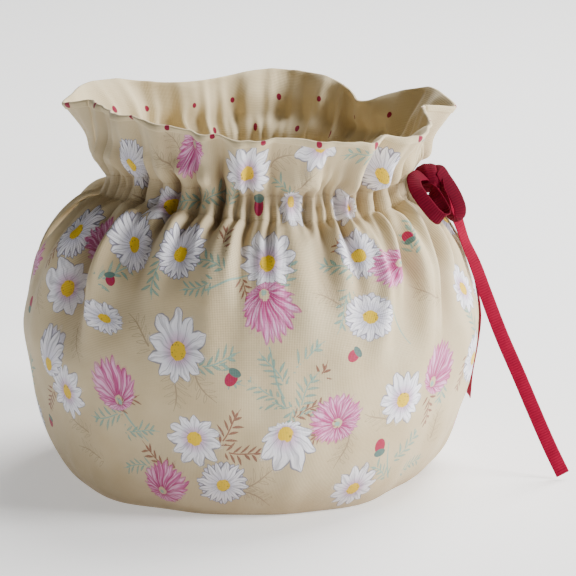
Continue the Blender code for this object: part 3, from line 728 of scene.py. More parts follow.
# Leaves on the front panel: 1 is a sage spray, 2 a brown one, 3 an outline in beige, 4 a bare stem
FRONT_LEAVES = (
    # x, z, half length, turn, width, kind, seed
    (-12, 121, 13.0, -75, 0.8, 4, 0.60),
    (12, 119, 10.0, 60, 0.8, 4, 0.80),
    (13, 77, 13.0, 20, 0.8, 4, 0.90),
    (21, 64, 14.0, 15, 0.8, 4, 0.25),
    (-58, 52, 13.0, -145, 0.8, 4, 0.30),
    (67, 24, 12.0, 20, 0.8, 4, 0.70),
    (70, 96, 11.0, 210, 0.7, 4, 0.10),
    (-14, 138, 9.5, -10, 1.1, 2, 0.30),
    (-22, 130, 10.0, 70, 1.1, 1, 0.40),
    (-26, 119, 8.0, 110, 1.1, 1, 0.90),
    (-1, 116, 7.5, -150, 1.1, 2, 0.20),
    (17, 126, 9.5, -35, 1.2, 1, 0.35),
    (40, 125, 9.5, 60, 1.1, 1, 0.45),
    (45, 132, 7.5, 20, 1.1, 2, 0.60),
    (44, 106, 9.5, 150, 1.1, 1, 0.55),
    (36, 112, 8.5, 70, 1.1, 3, 0.15),
    (-45, 121, 9.5, 175, 1.2, 1, 0.20),
    (27, 87, 9.5, -60, 1.1, 1, 0.50),
    (31, 76, 8.5, -35, 1.1, 2, 0.15),
    (12, 62, 9.5, 75, 1.2, 1, 0.20),
    (28, 60, 8.5, -70, 1.1, 2, 0.75),
    (17, 52, 9.0, 160, 1.1, 1, 0.65),
    (5, 73, 8.5, 50, 1.1, 1, 0.85),
    (-15, 86, 9.5, -75, 1.2, 1, 0.40),
    (-10, 78, 7.0, -120, 1.1, 1, 0.10),
    (-53, 95, 9.5, 50, 1.2, 3, 0.10),
    (-37, 68, 9.5, 175, 1.2, 3, 0.70),
    (-23, 72, 9.0, 215, 1.2, 3, 0.25),
    (-60, 60, 8.5, -50, 1.1, 2, 0.90),
    (-70, 51, 9.0, 100, 1.1, 1, 0.70),
    (-52, 46, 8.5, -90, 1.1, 1, 0.55),
    (-10, 52, 9.5, -35, 1.1, 2, 0.50),
    (-3, 38, 9.0, -100, 1.2, 2, 0.45),
    (-84, 41, 9.0, 60, 1.2, 3, 0.60),
    (-45, 32, 9.5, 50, 1.1, 2, 0.80),
    (-56, 25, 8.0, 100, 1.1, 1, 0.35),
    (3, 23, 10.0, -60, 1.2, 3, 0.40),
    (2, 12, 9.0, -120, 1.2, 3, 0.80),
    (76, 32, 9.5, -40, 1.2, 1, 0.30),
    (62, 20, 9.0, 60, 1.1, 1, 0.20),
    (79, 18, 8.5, -70, 1.1, 1, 0.90),
    (93, 57, 9.0, 170, 1.1, 1, 0.60),
    (86, 47, 8.5, 200, 1.1, 2, 0.10),
    (34, 47, 8.0, 110, 1.1, 2, 0.35),
    (30, 58, 7.5, 80, 1.1, 1, 0.15),
    (44, 36, 9.0, 170, 1.2, 3, 0.90),
    (87, 108, 9.0, 60, 1.2, 3, 0.80),
    (78, 134, 9.0, -20, 1.1, 1, 0.95),
    (16, 160, 9.5, 60, 1.1, 1, 0.20),
    (26, 163, 8.5, -50, 1.1, 3, 0.70),
    (-16, 155, 9.5, -70, 1.1, 1, 0.85),
    (-8, 161, 8.0, -20, 1.1, 1, 0.30),
    (-32, 152, 9.0, 100, 1.1, 1, 0.35),
    (-54, 150, 8.5, 60, 1.1, 3, 0.50),
    (-43, 173, 10.0, 40, 1.2, 3, 0.55),
    (15, 176, 10.0, -60, 1.2, 3, 0.75),
    (-80, 165, 9.0, 10, 1.1, 3, 0.62),
    (52, 178, 9.0, 100, 1.1, 1, 0.42),
    (98, 172, 9.0, 40, 1.1, 1, 0.52),
    (-97, 120, 9.0, 170, 1.0, 2, 0.82),
    (-84, 84, 9.0, 200, 1.1, 3, 0.32),
    (-98, 48, 8.0, 150, 1.1, 2, 0.12),
    (-78, 28, 9.0, 80, 1.1, 3, 0.22),
    (100, 122, 9.0, 20, 1.1, 3, 0.84),
    (10, 81, 9.0, 30, 1.1, 1, 0.45),
    (27, 70, 9.0, -30, 1.1, 1, 0.70),
    (62, 50, 9.0, 60, 1.2, 3, 0.50),
    (90, 38, 9.0, -10, 1.2, 3, 0.55),
    (-36, 180, 9.0, 30, 1.2, 3, 0.25),
    (-62, 120, 9.0, -60, 1.1, 1, 0.65),
    (109, 84, 9.0, 10, 1.1, 1, 0.45),
    (103, 58, 9.0, 160, 1.1, 2, 0.75),
    (-109, 60, 9.0, -20, 1.1, 1, 0.15),
    (-104, 100, 9.0, 200, 1.1, 3, 0.35),
)
FLOWER_LAYERS = ("flowers_low", "flowers_high")
LEAF_LAYERS = ("leaves_low", "leaves_high")
LEAF_SCALE = 0.95           # size of the sprays against the tables
MOTIF_REACH = 1.12          # a motif takes up faces to a little past its edge


def print_marks(points, flat, flowers, leaves, side):
    """Each motif's own coordinates at the corners of the faces that it covers."""
    low, high = slice(None, -1), slice(1, None)
    corners = ((low, low), (high, low), (high, high), (low, high))
    flat_corners = np.stack([flat[s] for s in corners], axis=2).reshape(-1, 4, 2)
    marks = {label: np.zeros((len(flat_corners), 4, 3)) for label in FLOWER_LAYERS + LEAF_LAYERS}
    taken = {label: np.zeros(len(flat_corners), bool) for label in marks}
    rows = [(r[:6] + (r[6] + r[7],), FLOWER_LAYERS, 1.0) for r in flowers]
    rows += [(r[:5] + (0.0, r[5] + r[6]), LEAF_LAYERS, LEAF_SCALE) for r in leaves]
    other_side = np.where(points[..., 1] * side > 0, 0, 1000)
    for (x, z, radius, turn, width, lean, code), layers, scale in rows:
        apart = np.hypot(points[..., 0] - x, points[..., 2] - z) + other_side
        centre = flat[np.unravel_index(apart.argmin(), apart.shape)]
        away = (flat_corners - centre) / (radius * scale)
        cos, sin = math.cos(math.radians(turn)), math.sin(math.radians(turn))
        across = (away[..., 0] * cos + away[..., 1] * sin) / width
        up = away[..., 1] * cos - away[..., 0] * sin + lean
        ray = np.hypot(across, up) + 1e-9
        toward = -lean * up / ray
        reach = -toward + np.sqrt(np.maximum(toward ** 2 + 1 - lean ** 2, 1e-6))
        across, up = across / reach, up / reach
        covered = (np.hypot(across, up) < MOTIF_REACH).any(axis=1)
        layer = next((k for k in layers if not (taken[k] & covered).any()), layers[-1])
        marks[layer][covered] = np.stack([across, up, np.full_like(up, code)], axis=-1)[covered]
        taken[layer] |= covered
    return marks


# A made-up layout of the same motifs for the back panel
BACK_FLOWERS = (
    # x, z, radius, turn, width, lean, petals, seed
    (-80, 128, 16.0, 30, 0.95, 0.15, 16, 0.15),
    (-48, 118, 17.0, -20, 0.95, 0.1, 11, 0.35),
    (-12, 134, 15.5, 10, 1.0, 0.2, 17, 0.55),
    (26, 120, 16.0, 50, 0.95, 0.2, 8, 0.75),
    (62, 132, 15.0, -30, 0.9, 0.2, 15, 0.95),
    (84, 108, 15.0, 15, 0.9, 0.1, 14, 0.25),
    (-96, 88, 15.0, 80, 0.9, 0.1, 16, 0.45),
    (-60, 82, 16.0, 0, 1.0, 0.75, 13, 0.65),
    (-22, 92, 19.0, 40, 0.95, 0.15, 12, 0.85),
    (14, 84, 15.0, -60, 0.95, 0.1, 17, 0.05),
    (50, 90, 17.0, 20, 1.0, 0.15, 11, 0.3),
    (98, 74, 15.0, 0, 0.9, 0.2, 15, 0.5),
    (-80, 48, 16.0, -10, 0.95, 0.1, 8, 0.7),
    (-40, 50, 15.0, 60, 0.95, 0.1, 16, 0.9),
    (4, 46, 17.0, 0, 1.0, 0.15, 13, 0.1),
    (70, 54, 15.0, 45, 0.95, 0.1, 15, 0.2),
    (36, 24, 15.0, 10, 1.0, 0.7, 14, 0.4),
    (-56, 16, 14.0, 20, 1.0, 0.1, 17, 0.6),
    (-4, 14, 14.0, 70, 1.0, 0.1, 12, 0.8),
    (-50, 172, 15.5, 0, 1.0, 0.2, 15, 0.33),
    (8, 174, 16.0, 30, 1.0, 0.2, 11, 0.53),
    (58, 172, 15.5, -20, 1.0, 0.2, 16, 0.73),
    (-98, 118, 14.0, 60, 0.8, 0.7, 117, 0.22),
    (-32, 146, 14.0, 160, 0.9, 0.5, 115, 0.42),
    (44, 140, 14.0, -40, 0.9, 0.6, 117, 0.62),
    (-80, 68, 14.0, 120, 0.9, 0.7, 118, 0.82),
    (-2, 110, 14.0, 20, 0.9, 0.7, 116, 0.12),
    (32, 62, 15.0, -20, 1.0, 0.7, 117, 0.32),
    (-22, 30, 14.0, 30, 0.9, 0.6, 116, 0.52),
    (76, 26, 14.0, 200, 1.0, 0.5, 115, 0.72),
    (-20, 180, 14.0, 90, 0.9, 0.5, 116, 0.92),
    (32, 182, 14.0, 10, 0.9, 0.5, 117, 0.18),
    (110, 94, 14.0, 20, 0.95, 0.1, 16, 0.24),
    (109, 56, 15.0, 70, 0.95, 0.5, 117, 0.44),
    (102, 26, 13.0, 0, 0.95, 0.1, 13, 0.64),
    (-112, 74, 15.0, 40, 0.95, 0.1, 15, 0.84),
    (-104, 104, 13.0, 0, 0.9, 0.1, 12, 0.14),
    (-102, 32, 14.0, 20, 0.95, 0.5, 116, 0.34),
    (-64, 104, 5.0, 170, 1.0, 0.0, 200, 0.3),
    (40, 106, 5.0, 20, 1.0, 0.0, 200, 0.5),
    (-8, 66, 5.0, 150, 1.0, 0.0, 200, 0.7),
    (86, 90, 4.5, 200, 1.0, 0.0, 200, 0.2),
    (-62, 32, 5.0, -20, 1.0, 0.0, 200, 0.4),
    (54, 38, 5.0, 30, 1.0, 0.0, 200, 0.6),
)
BACK_LEAVES = (
    # x, z, half length, turn, width, kind, seed
    (-66, 112, 12.0, 40, 0.8, 4, 0.15),
    (6, 104, 12.0, -20, 0.8, 4, 0.35),
    (70, 84, 12.0, 60, 0.8, 4, 0.55),
    (-30, 70, 13.0, -50, 0.8, 4, 0.75),
    (18, 38, 12.0, 30, 0.8, 4, 0.95),
    (-74, 100, 9.5, 110, 1.1, 1, 0.20),
    (-62, 128, 9.0, -20, 1.1, 2, 0.40),
    (-32, 106, 9.5, 160, 1.1, 1, 0.60),
    (8, 122, 8.5, 60, 1.1, 2, 0.80),
    (2, 94, 9.5, 110, 1.1, 1, 0.10),
    (44, 112, 9.0, -60, 1.1, 3, 0.30),
    (72, 121, 9.0, -40, 1.2, 3, 0.50),
    (74, 94, 9.5, -20, 1.1, 1, 0.70),
    (64, 72, 9.0, 150, 1.1, 2, 0.90),
    (-42, 98, 9.0, 130, 1.2, 3, 0.22),
    (32, 76, 9.5, -10, 1.1, 1, 0.42),
    (-40, 66, 9.0, 100, 1.1, 2, 0.62),
    (-98, 62, 9.0, 10, 1.2, 3, 0.82),
    (14, 62, 9.0, 90, 1.2, 3, 0.12),
    (-20, 60, 9.5, -70, 1.1, 1, 0.32),
    (88, 44, 9.0, 20, 1.1, 2, 0.52),
    (20, 28, 9.5, 200, 1.1, 1, 0.72),
    (12, 48, 8.5, 60, 1.1, 1, 0.92),
    (-40, 28, 9.0, 80, 1.2, 3, 0.14),
    (-66, 32, 9.0, -60, 1.1, 1, 0.34),
    (52, 46, 9.0, 130, 1.1, 1, 0.54),
    (-34, 166, 9.5, 40, 1.1, 1, 0.74),
    (-20, 158, 9.0, -70, 1.1, 1, 0.94),
    (28, 166, 9.0, -60, 1.2, 3, 0.16),
    (36, 156, 9.0, 60, 1.1, 2, 0.36),
    (-70, 158, 9.0, 30, 1.1, 3, 0.56),
    (78, 158, 9.0, -30, 1.1, 1, 0.76),
    (110, 74, 9.0, 20, 1.1, 1, 0.96),
    (102, 40, 9.0, 150, 1.1, 3, 0.18),
    (-110, 88, 9.0, -20, 1.1, 2, 0.38),
    (-106, 48, 9.0, 170, 1.1, 1, 0.58),
)

# Fine printed cotton: a plain weave with hardly any gloss and a faint fuzz, a pale cream ground,
# and flat inks that sink into the threads. Threads are 0.4 mm apart in real lawn and are drawn at
# twice that, so that they show at all.
THREAD = 0.8
WEAVE_BUMP = (0.35, 0.00012)
STITCH = 2.6
COTTON_DARK = "#c6b28a"
COTTON_LIGHT = "#d1c09b"
STITCH_COLOUR = "#8f7a55"
FOLD_SHADE_TINT = "#a39284"     # painted shade: what the cloth's colour is multiplied by, deep in a fold, along the channel and near the hem
INK = {
    "petal": "#f6f5fc", "petal root": "#d8d5e6", "petal behind": "#dddbeb", "outline": "#625e70",
    "blush": "#cf7fb0", "eye": "#e6bf12", "eye dot": "#5b4420", "pink": "#de86bc", "pink root": "#b53c84",
    "magenta": "#a01c5e", "bud": "#a3123f", "sage": "#8fae9f", "sage dark": "#55736b",
    "brown": "#93644f", "brown dark": "#6b4236", "beige": "#9a8468",
}


def ink_group(name):
    """An empty shader group that takes a motif's coordinates and gives its colour and cover."""
    group = bpy.data.node_groups.new(name, "ShaderNodeTree")
    group.interface.new_socket("Mark", in_out="INPUT", socket_type="NodeSocketVector")
    group.interface.new_socket("Colour", in_out="OUTPUT", socket_type="NodeSocketColor")
    group.interface.new_socket("Cover", in_out="OUTPUT", socket_type="NodeSocketFloat")
    mark = group.nodes.new("NodeGroupInput").outputs["Mark"]
    return group, mark, group.nodes.new("NodeGroupOutput")


def flower_inks():
    """Shader group that draws a flower, or a bud, from its own coordinates."""
    group, mark, last = ink_group("printed_flower")
    node = partial(add_node, group)
    x, y, code = node("SeparateXYZ", mark).node.outputs[:3]
    pink = node("Math", code, 100.0, operation="GREATER_THAN")
    bud = node("Math", code, 199.5, operation="GREATER_THAN")
    count = node("Math", code, 100.0, operation="MODULO")
    seed = node("Math", count, operation="FRACT")
    petals = node("Math", node("Math", count, operation="FLOOR"), 1.0, operation="MAXIMUM")
    flat_mark = node("CombineXYZ", x, y, 0.0)
    ray = node("VectorMath", flat_mark, operation="LENGTH").node.outputs["Value"]
    angle = node("Math", y, x, operation="ARCTAN2")
    seeded = node("CombineXYZ", x, y, node("Math", seed, 37.0, operation="MULTIPLY"))
    wobble = node("TexNoise", seeded, 2.2, 1.0)
    wobble = node("MapRange", wobble, 0.0, 1.0, -0.45, 0.45)
    slice_share = node("Math", petals, 2 * math.pi, operation="DIVIDE")
    cell = node("Math", angle, slice_share, wobble, operation="MULTIPLY_ADD")
    fullness = node("MapRange", pink, 0.0, 1.0, 2.4, 1.75)
    petal_width = node("Math", fullness, petals, operation="DIVIDE")
    double = node("Math", petals, 12.5, operation="GREATER_THAN")
    rough_edge = node("TexNoise", seeded, 9.0, 2.0)
    rough_edge = node("MapRange", rough_edge, 0.0, 1.0, -0.05, 0.05)
    covers, lines, lengths = [], [], []
    for half in (0.0, 0.5):
        turned = node("Math", cell, half, operation="ADD")
        number = node("Math", turned, operation="FLOOR")
        number = node("Math", number, petals, operation="FLOORED_MODULO")
        lot = node("Math", seed, 91.0 + half, operation="MULTIPLY")
        number = node("Math", number, lot, operation="ADD")
        chance = node("TexWhiteNoise", number, noise_dimensions="1D").node.outputs["Value"]
        off = node("Math", node("Math", turned, operation="FRACT"), 0.5, operation="SUBTRACT")
        off = node("Math", node("Math", off, operation="ABSOLUTE"), slice_share, operation="DIVIDE")
        off = node("Math", off, ray, operation="MULTIPLY")
        reach = node("MapRange", chance, 0.0, 1.0, 0.84 - 0.1 * half, 1.0 - 0.1 * half)
        along = node("Math", ray, reach, operation="DIVIDE")
        along = node("Math", node("Math", along, 0.6, operation="SUBTRACT"), 0.41, operation="DIVIDE")
        along = node("Math", along, along, operation="MULTIPLY")
        room = node("Math", 1.0, along, operation="SUBTRACT")
        room = node("Math", room, rough_edge, operation="ADD")
        room = node("Math", node("Math", room, 0.0, operation="MAXIMUM"), 0.55, operation="POWER")
        edge = node("Math", room, petal_width, operation="MULTIPLY")
        edge = node("Math", edge, off, operation="SUBTRACT")
        shown = double if half else 1.0
        cover = node("MapRange", edge, 0.0, 0.012, 0.0, 1.0)
        covers.append(node("Math", cover, shown, operation="MULTIPLY"))
        line = node("Math", node("Math", edge, 0.02, operation="SUBTRACT"), operation="ABSOLUTE")
        line = node("MapRange", line, 0.012, 0.03, 1.0, 0.0)
        lines.append(node("Math", line, shown, operation="MULTIPLY"))
        lengths.append(off)
    streak_place = node("CombineXYZ", node("Math", cell, 3.2, operation="MULTIPLY"), ray, seed)
    streak = node("TexNoise", streak_place, 1.6, 2.0)
    streak = node("MapRange", streak, 0.48, 0.66, 0.0, 1.0)
    vein = node("MapRange", lengths[0], 0.004, 0.016, 0.55, 0.0)
    root = node("MapRange", ray, 0.24, 0.62, 1.0, 0.0)
    white = node("Mix", root, linear(INK["petal"]), linear(INK["petal root"]), data_type="RGBA")
    behind = node("Math", 1.0, covers[0], operation="SUBTRACT")
    white = node("Mix", behind, white, linear(INK["petal behind"]), data_type="RGBA")
    blushed = node("Math", petals, 12.5, operation="LESS_THAN")
    blushed = node("Math", blushed, node("MapRange", ray, 0.22, 0.5, 0.55, 0.0), operation="MULTIPLY")
    white = node("Mix", blushed, white, linear(INK["blush"]), data_type="RGBA")
    faint = node("Math", node("Math", streak, 0.42, operation="MULTIPLY"), vein, operation="MAXIMUM")
    white = node("Mix", faint, white, linear(INK["outline"]), data_type="RGBA")
    rose = node("Mix", root, linear(INK["pink"]), linear(INK["pink root"]), data_type="RGBA")
    strong = node("Math", streak, 0.7, operation="MULTIPLY")
    rose = node("Mix", strong, rose, linear(INK["magenta"]), data_type="RGBA")
    pale = node("MapRange", streak, 0.0, 0.12, 0.3, 0.0)
    rose = node("Mix", pale, rose, linear(INK["petal"]), data_type="RGBA")
    drawn = node("Mix", pink, white, rose, data_type="RGBA")
    hidden_line = node("Math", lines[1], behind, operation="MULTIPLY")
    line = node("Math", lines[0], hidden_line, operation="MAXIMUM")
    line = node("Math", line, node("MapRange", pink, 0.0, 1.0, 0.85, 0.6), operation="MULTIPLY")
    line_ink = node("Mix", pink, linear(INK["outline"]), linear(INK["magenta"]), data_type="RGBA")
    drawn = node("Mix", line, drawn, line_ink, data_type="RGBA")
    eye_size = node("MapRange", pink, 0.0, 1.0, 0.255, 0.10)
    eye_edge = node("Math", eye_size, ray, operation="SUBTRACT")
    eye_edge = node("Math", eye_edge, rough_edge, operation="ADD")
    eye = node("MapRange", eye_edge, 0.0, 0.02, 0.0, 1.0)
    dots = node("TexVoronoi", seeded, 11.0).node.outputs["Distance"]
    dots = node("MapRange", dots, 0.18, 0.32, 1.0, 0.0)
    dots = node("Math", dots, node("MapRange", eye_edge, 0.02, 0.16, 1.0, 0.15), operation="MULTIPLY")
    eye_ink = node("Mix", dots, linear(INK["eye"]), linear(INK["eye dot"]), data_type="RGBA")
    eye_ink = node("Mix", pink, eye_ink, linear(INK["sage"]), data_type="RGBA")
    drawn = node("Mix", eye, drawn, eye_ink, data_type="RGBA")
    cover = node("Math", covers[0], covers[1], operation="MAXIMUM")
    cover = node("Math", cover, eye, operation="MAXIMUM")
    shapes = []
    for high, wide, tall in ((0.2, 0.5, 0.68), (-0.38, 0.55, 0.34)):
        off = node("Math", x, wide, operation="DIVIDE")
        rise = node("Math", node("Math", y, high, operation="SUBTRACT"), tall, operation="DIVIDE")
        off = node("CombineXYZ", off, rise, 0.0)
        off = node("VectorMath", off, operation="LENGTH").node.outputs["Value"]
        off = node("Math", off, rough_edge, operation="ADD")
        shapes.append(node("MapRange", off, 0.94, 1.0, 1.0, 0.0))
    bud_ink = node("Math", streak, 0.5, operation="MULTIPLY")
    bud_ink = node("Mix", bud_ink, linear(INK["bud"]), linear(INK["magenta"]), data_type="RGBA")
    bud_ink = node("Mix", shapes[1], bud_ink, linear(INK["sage dark"]), data_type="RGBA")
    drawn = node("Mix", bud, drawn, bud_ink, data_type="RGBA")
    bud_cover = node("Math", shapes[0], shapes[1], operation="MAXIMUM")
    cover = node("Mix", bud, cover, bud_cover)
    there = node("Math", code, 0.5, operation="GREATER_THAN")
    cover = node("Math", cover, there, operation="MULTIPLY")
    group.links.new(drawn, last.inputs["Colour"])
    group.links.new(cover, last.inputs["Cover"])
    return group


LEAF_STEP = 0.43            # from one leaflet to the next, in halves of the spray's length
LEAF_WIDTH = 0.08


def leaf_inks():
    """Shader group that draws a stem with narrow leaves from its own coordinates."""
    group, mark, last = ink_group("printed_leaves")
    node = partial(add_node, group)
    x, y, code = node("SeparateXYZ", mark).node.outputs[:3]
    kind = node("Math", code, operation="FLOOR")
    seed = node("Math", node("Math", code, operation="FRACT"), 6.0, operation="MULTIPLY")
    bend = node("Math", node("Math", y, 1.7, seed, operation="MULTIPLY_ADD"), operation="SINE")
    x = node("Math", bend, -0.14, x, operation="MULTIPLY_ADD")
    side = node("Math", x, 0.0, operation="GREATER_THAN")
    off = node("Math", x, operation="ABSOLUTE")
    climb = node("Math", side, 0.17, y, operation="MULTIPLY_ADD")
    climb = node("Math", climb, 1.2, operation="ADD")
    row = node("Math", climb, LEAF_STEP, operation="DIVIDE")
    leafy = node("Math", kind, 3.5, operation="LESS_THAN")
    leaves, rims, veins = [], [], []
    for below in (0.0, 1.0):
        number = node("Math", node("Math", row, operation="FLOOR"), below, operation="SUBTRACT")
        number = node("Math", side, 7.3, number, operation="MULTIPLY_ADD")
        number = node("Math", number, seed, operation="ADD")
        chance = node("TexWhiteNoise", number, noise_dimensions="1D").node.outputs["Value"]
        over = node("Math", node("Math", row, operation="FRACT"), below, operation="ADD")
        over = node("Math", over, LEAF_STEP, operation="MULTIPLY")
        lift = node("MapRange", chance, 0.0, 1.0, 0.78, 1.18)
        lift_cos = node("Math", lift, operation="COSINE")
        lift_sin = node("Math", lift, operation="SINE")
        along = node("Math", off, lift_cos, operation="MULTIPLY")
        along = node("Math", over, lift_sin, along, operation="MULTIPLY_ADD")
        across = node("Math", over, lift_cos, operation="MULTIPLY")
        across = node("Math", across, node("Math", off, lift_sin, operation="MULTIPLY"), operation="SUBTRACT")
        curl = node("Math", along, along, operation="MULTIPLY")
        across = node("Math", curl, 0.25, across, operation="MULTIPLY_ADD")
        across = node("Math", across, operation="ABSOLUTE")
        tip = node("MapRange", chance, 0.0, 1.0, 0.84, 0.56)
        share = node("Math", along, tip, operation="DIVIDE")
        share = node("Math", share, 0.56, operation="SUBTRACT")
        share = node("Math", share, share, operation="MULTIPLY")
        room = node("Math", share, -4.4, 1.0, operation="MULTIPLY_ADD")
        edge = node("Math", room, LEAF_WIDTH, operation="MULTIPLY")
        edge = node("Math", edge, across, operation="SUBTRACT")
        edge = node("Math", edge, node("MapRange", y, 0.8, 1.0, 0.0, 0.1), operation="SUBTRACT")
        leaf = node("MapRange", edge, 0.0, 0.014, 0.0, 1.0)
        leaves.append(node("Math", leaf, leafy, operation="MULTIPLY"))
        rim = node("Math", node("Math", edge, 0.012, operation="SUBTRACT"), operation="ABSOLUTE")
        rim = node("MapRange", rim, 0.006, 0.02, 1.0, 0.0)
        rims.append(node("Math", rim, leafy, operation="MULTIPLY"))
        veins.append(node("MapRange", across, 0.004, 0.014, 0.6, 0.0))
    tip = node("Math", node("Math", y, 0.72, operation="SUBTRACT"), 0.28, operation="DIVIDE")
    tip = node("Math", tip, tip, operation="MULTIPLY")
    tip = node("Math", tip, -LEAF_WIDTH, LEAF_WIDTH, operation="MULTIPLY_ADD")
    tip = node("MapRange", node("Math", tip, off, operation="SUBTRACT"), 0.0, 0.014, 0.0, 1.0)
    leaf = node("Math", leaves[0], leaves[1], operation="MAXIMUM")
    leaf = node("Math", leaf, node("Math", tip, leafy, operation="MULTIPLY"), operation="MAXIMUM")
    rim = node("Math", rims[0], rims[1], operation="MAXIMUM")
    vein = node("Math", veins[0], veins[1], operation="MAXIMUM")
    stem_room = node("MapRange", y, 0.3, 0.95, 0.034, 0.012)
    stem_room = node("Math", stem_room, 0.024, operation="ADD")
    stem_room = node("Math", leafy, -0.014, stem_room, operation="MULTIPLY_ADD")
    stem = node("Math", stem_room, off, operation="SUBTRACT")
    stem = node("MapRange", stem, 0.0, 0.014, 0.0, 1.0)
    stem = node("Math", stem, node("Math", y, -0.95, operation="GREATER_THAN"), operation="MULTIPLY")
    brown = node("Math", kind, 2.0, 0.1, operation="COMPARE")
    beige = node("Math", kind, 3.0, 0.1, operation="COMPARE")
    ink = node("Mix", brown, linear(INK["sage"]), linear(INK["brown"]), data_type="RGBA")
    ink = node("Mix", beige, ink, linear(INK["beige"]), data_type="RGBA")
    dark = node("Math", node("Math", vein, rim, operation="MAXIMUM"), leaf, operation="MULTIPLY")
    dark = node("Math", dark, 0.8, operation="MULTIPLY")
    dark_ink = node("Mix", brown, linear(INK["sage dark"]), linear(INK["brown dark"]), data_type="RGBA")
    dark_ink = node("Mix", beige, dark_ink, linear(INK["beige"]), data_type="RGBA")
    drawn = node("Mix", dark, ink, dark_ink, data_type="RGBA")
    filled = node("Math", leaf, stem, operation="MAXIMUM")
    lined = node("Math", rim, stem, operation="MAXIMUM")
    lined = node("Math", lined, 0.8, operation="MULTIPLY")
    cover = node("Mix", beige, filled, lined)
    there = node("Math", code, 0.5, operation="GREATER_THAN")
    cover = node("Math", cover, there, operation="MULTIPLY")
    group.links.new(drawn, last.inputs["Colour"])
    group.links.new(cover, last.inputs["Cover"])
    return group


def weave_height(tree, parts):
    """Height of a plain weave, from the millimetres along and across the cloth."""
    waves = []
    for axis in "XY":
        wave = add_node(tree, "Math", parts[axis], 2 * math.pi / THREAD, operation="MULTIPLY")
        waves.append(add_node(tree, "Math", wave, operation="SINE"))
    return add_node(tree, "Math", *waves, operation="ADD")


printed, tree, shader = new_material("printed_cotton_lawn", {
    "Roughness": 0.6, "Specular IOR Level": 0.4, "Sheen Weight": 0.05, "Sheen Roughness": 0.5,
})
node = partial(add_node, tree)
flat_place = node("UVMap", uv_map="cloth_flat")
thread_place = node("Mapping", flat_place, None, None, (1 / MM, 1 / MM, 1 / MM))
thread_parts = node("SeparateXYZ", thread_place).node.outputs
colour = node("MapRange", node("TexNoise", thread_place, 0.045, 3.0), 0.3, 0.7, 0.0, 1.0)
colour = node("Mix", colour, linear(COTTON_DARK), linear(COTTON_LIGHT), data_type="RGBA")
for labels, group in ((LEAF_LAYERS, leaf_inks()), (FLOWER_LAYERS, flower_inks())):
    for label in labels:
        mark = node("Attribute", attribute_name=label).node.outputs["Vector"]
        motif = tree.nodes.new("ShaderNodeGroup")
        motif.node_tree = group
        tree.links.new(mark, motif.inputs["Mark"])
        colour = node("Mix", motif.outputs["Cover"], colour, motif.outputs["Colour"], data_type="RGBA")
for line in (CHANNEL_FOOT, CHANNEL_HEAD):
    off = node("Math", thread_parts["Y"], float(up_at(line)), operation="SUBTRACT")
    off = node("MapRange", node("Math", off, operation="ABSOLUTE"), 0.25, 0.5, 1.0, 0.0)
    dash = node("Math", thread_parts["X"], 2 * math.pi / STITCH, operation="MULTIPLY")
    dash = node("MapRange", node("Math", dash, operation="SINE"), -0.6, 0.0, 0.08, 0.3)
    dash = node("Math", off, dash, operation="MULTIPLY")
    colour = node("Mix", dash, colour, linear(STITCH_COLOUR), data_type="RGBA")
# Painted shade: the fold_shade attribute darkens the cloth's colour in the folds, along the channel and near
# the hem.
shade = node("Attribute", attribute_name="fold_shade").node.outputs["Fac"]
shade = node("Mix", shade, linear("#ffffff"), linear(FOLD_SHADE_TINT), data_type="RGBA")
colour = node("Mix", 1.0, colour, shade, data_type="RGBA", blend_type="MULTIPLY")
tree.links.new(colour, shader.inputs["Base Color"])
slub = node("TexNoise", thread_place, 0.35, 3.0)
weave = node("Math", slub, 6.0, weave_height(tree, thread_parts), operation="MULTIPLY_ADD")
tree.links.new(node("Bump", *WEAVE_BUMP, None, weave), shader.inputs["Normal"])

PANELS = (
    # panel, side, flowers, leaves, way that it faces along y
    (0, "front", FRONT_FLOWERS, FRONT_LEAVES, -1),
    (1, "back", BACK_FLOWERS, BACK_LEAVES, 1),
)
shares = np.linspace(0, 1, PANEL_GRID[0])
lengths = np.linspace(0, side_length[-1], PANEL_GRID[1])
share, level = np.meshgrid(shares, level_up(lengths), indexing="ij")
flat = np.stack([share * PANEL_WIDTH, up_at(level)], axis=-1)
for panel, side, flowers, leaves, way in PANELS:
    outer = cloth_point(panel, share, level, 0.0)
    inner = cloth_point(panel, share, level, CLOTH_THICKNESS)
    marks = print_marks(outer, flat, flowers, leaves, way)
    piece = grid_object("panel_" + side, outer, inner, flat, marks, cloth_shade(panel, share, level))
    piece.data.materials.append(printed)
    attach(piece, "root")
    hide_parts(side + "_panel")

# Linings: one inside each panel, of thin cream cotton with small burgundy dots. They are sewn to
# the panels at the hem and at the side edges, and rolled over the rim as a narrow edge.
LINING_THICKNESS = 0.4
LINING_DEPTH = 1.7          # from the panel's outer face in to the middle of the lining
LINING_DROP = (
    # level, share
    (11, 0.0), (12, 0.7), (13, 1.5), (14, 1.35), (15, 1.2), (16, 0.5), (17, 0.0),
)
LINING_GRID = (221, 120)
LINING_DARK = "#c9b68e"
LINING_LIGHT = "#d8c8a2"
DOT_COLOUR = "#8a1136"
DOT_SIZE = 3.3
DOT_PITCH = (33.0, 33.0)
DOT_START = 5.9             # sets a row of dots on the rolled edge
RIM_ROLL = (
    # level, depth, beyond the rim, length over the rim
    (19, 1.0, 0.2, 0.5), (19, 0.6, 0.5, 1.0), (19, 0.15, 0.55, 1.5), (19, -0.2, 0.35, 1.9),
    (18.96, -0.34, 0.0, 2.4), (18.88, -0.36, 0.0, 3.1), (18.8, -0.36, 0.0, 3.8), (18.73, -0.3, 0.0, 4.4),
    (18.7, -0.12, 0.0, 4.8),
)
dotted, tree, shader = new_material("dotted_cotton_lawn", {
    "Roughness": 0.85, "Specular IOR Level": 0.3, "Sheen Weight": 0.2,
})
node = partial(add_node, tree)
flat_place = node("UVMap", uv_map="cloth_flat")
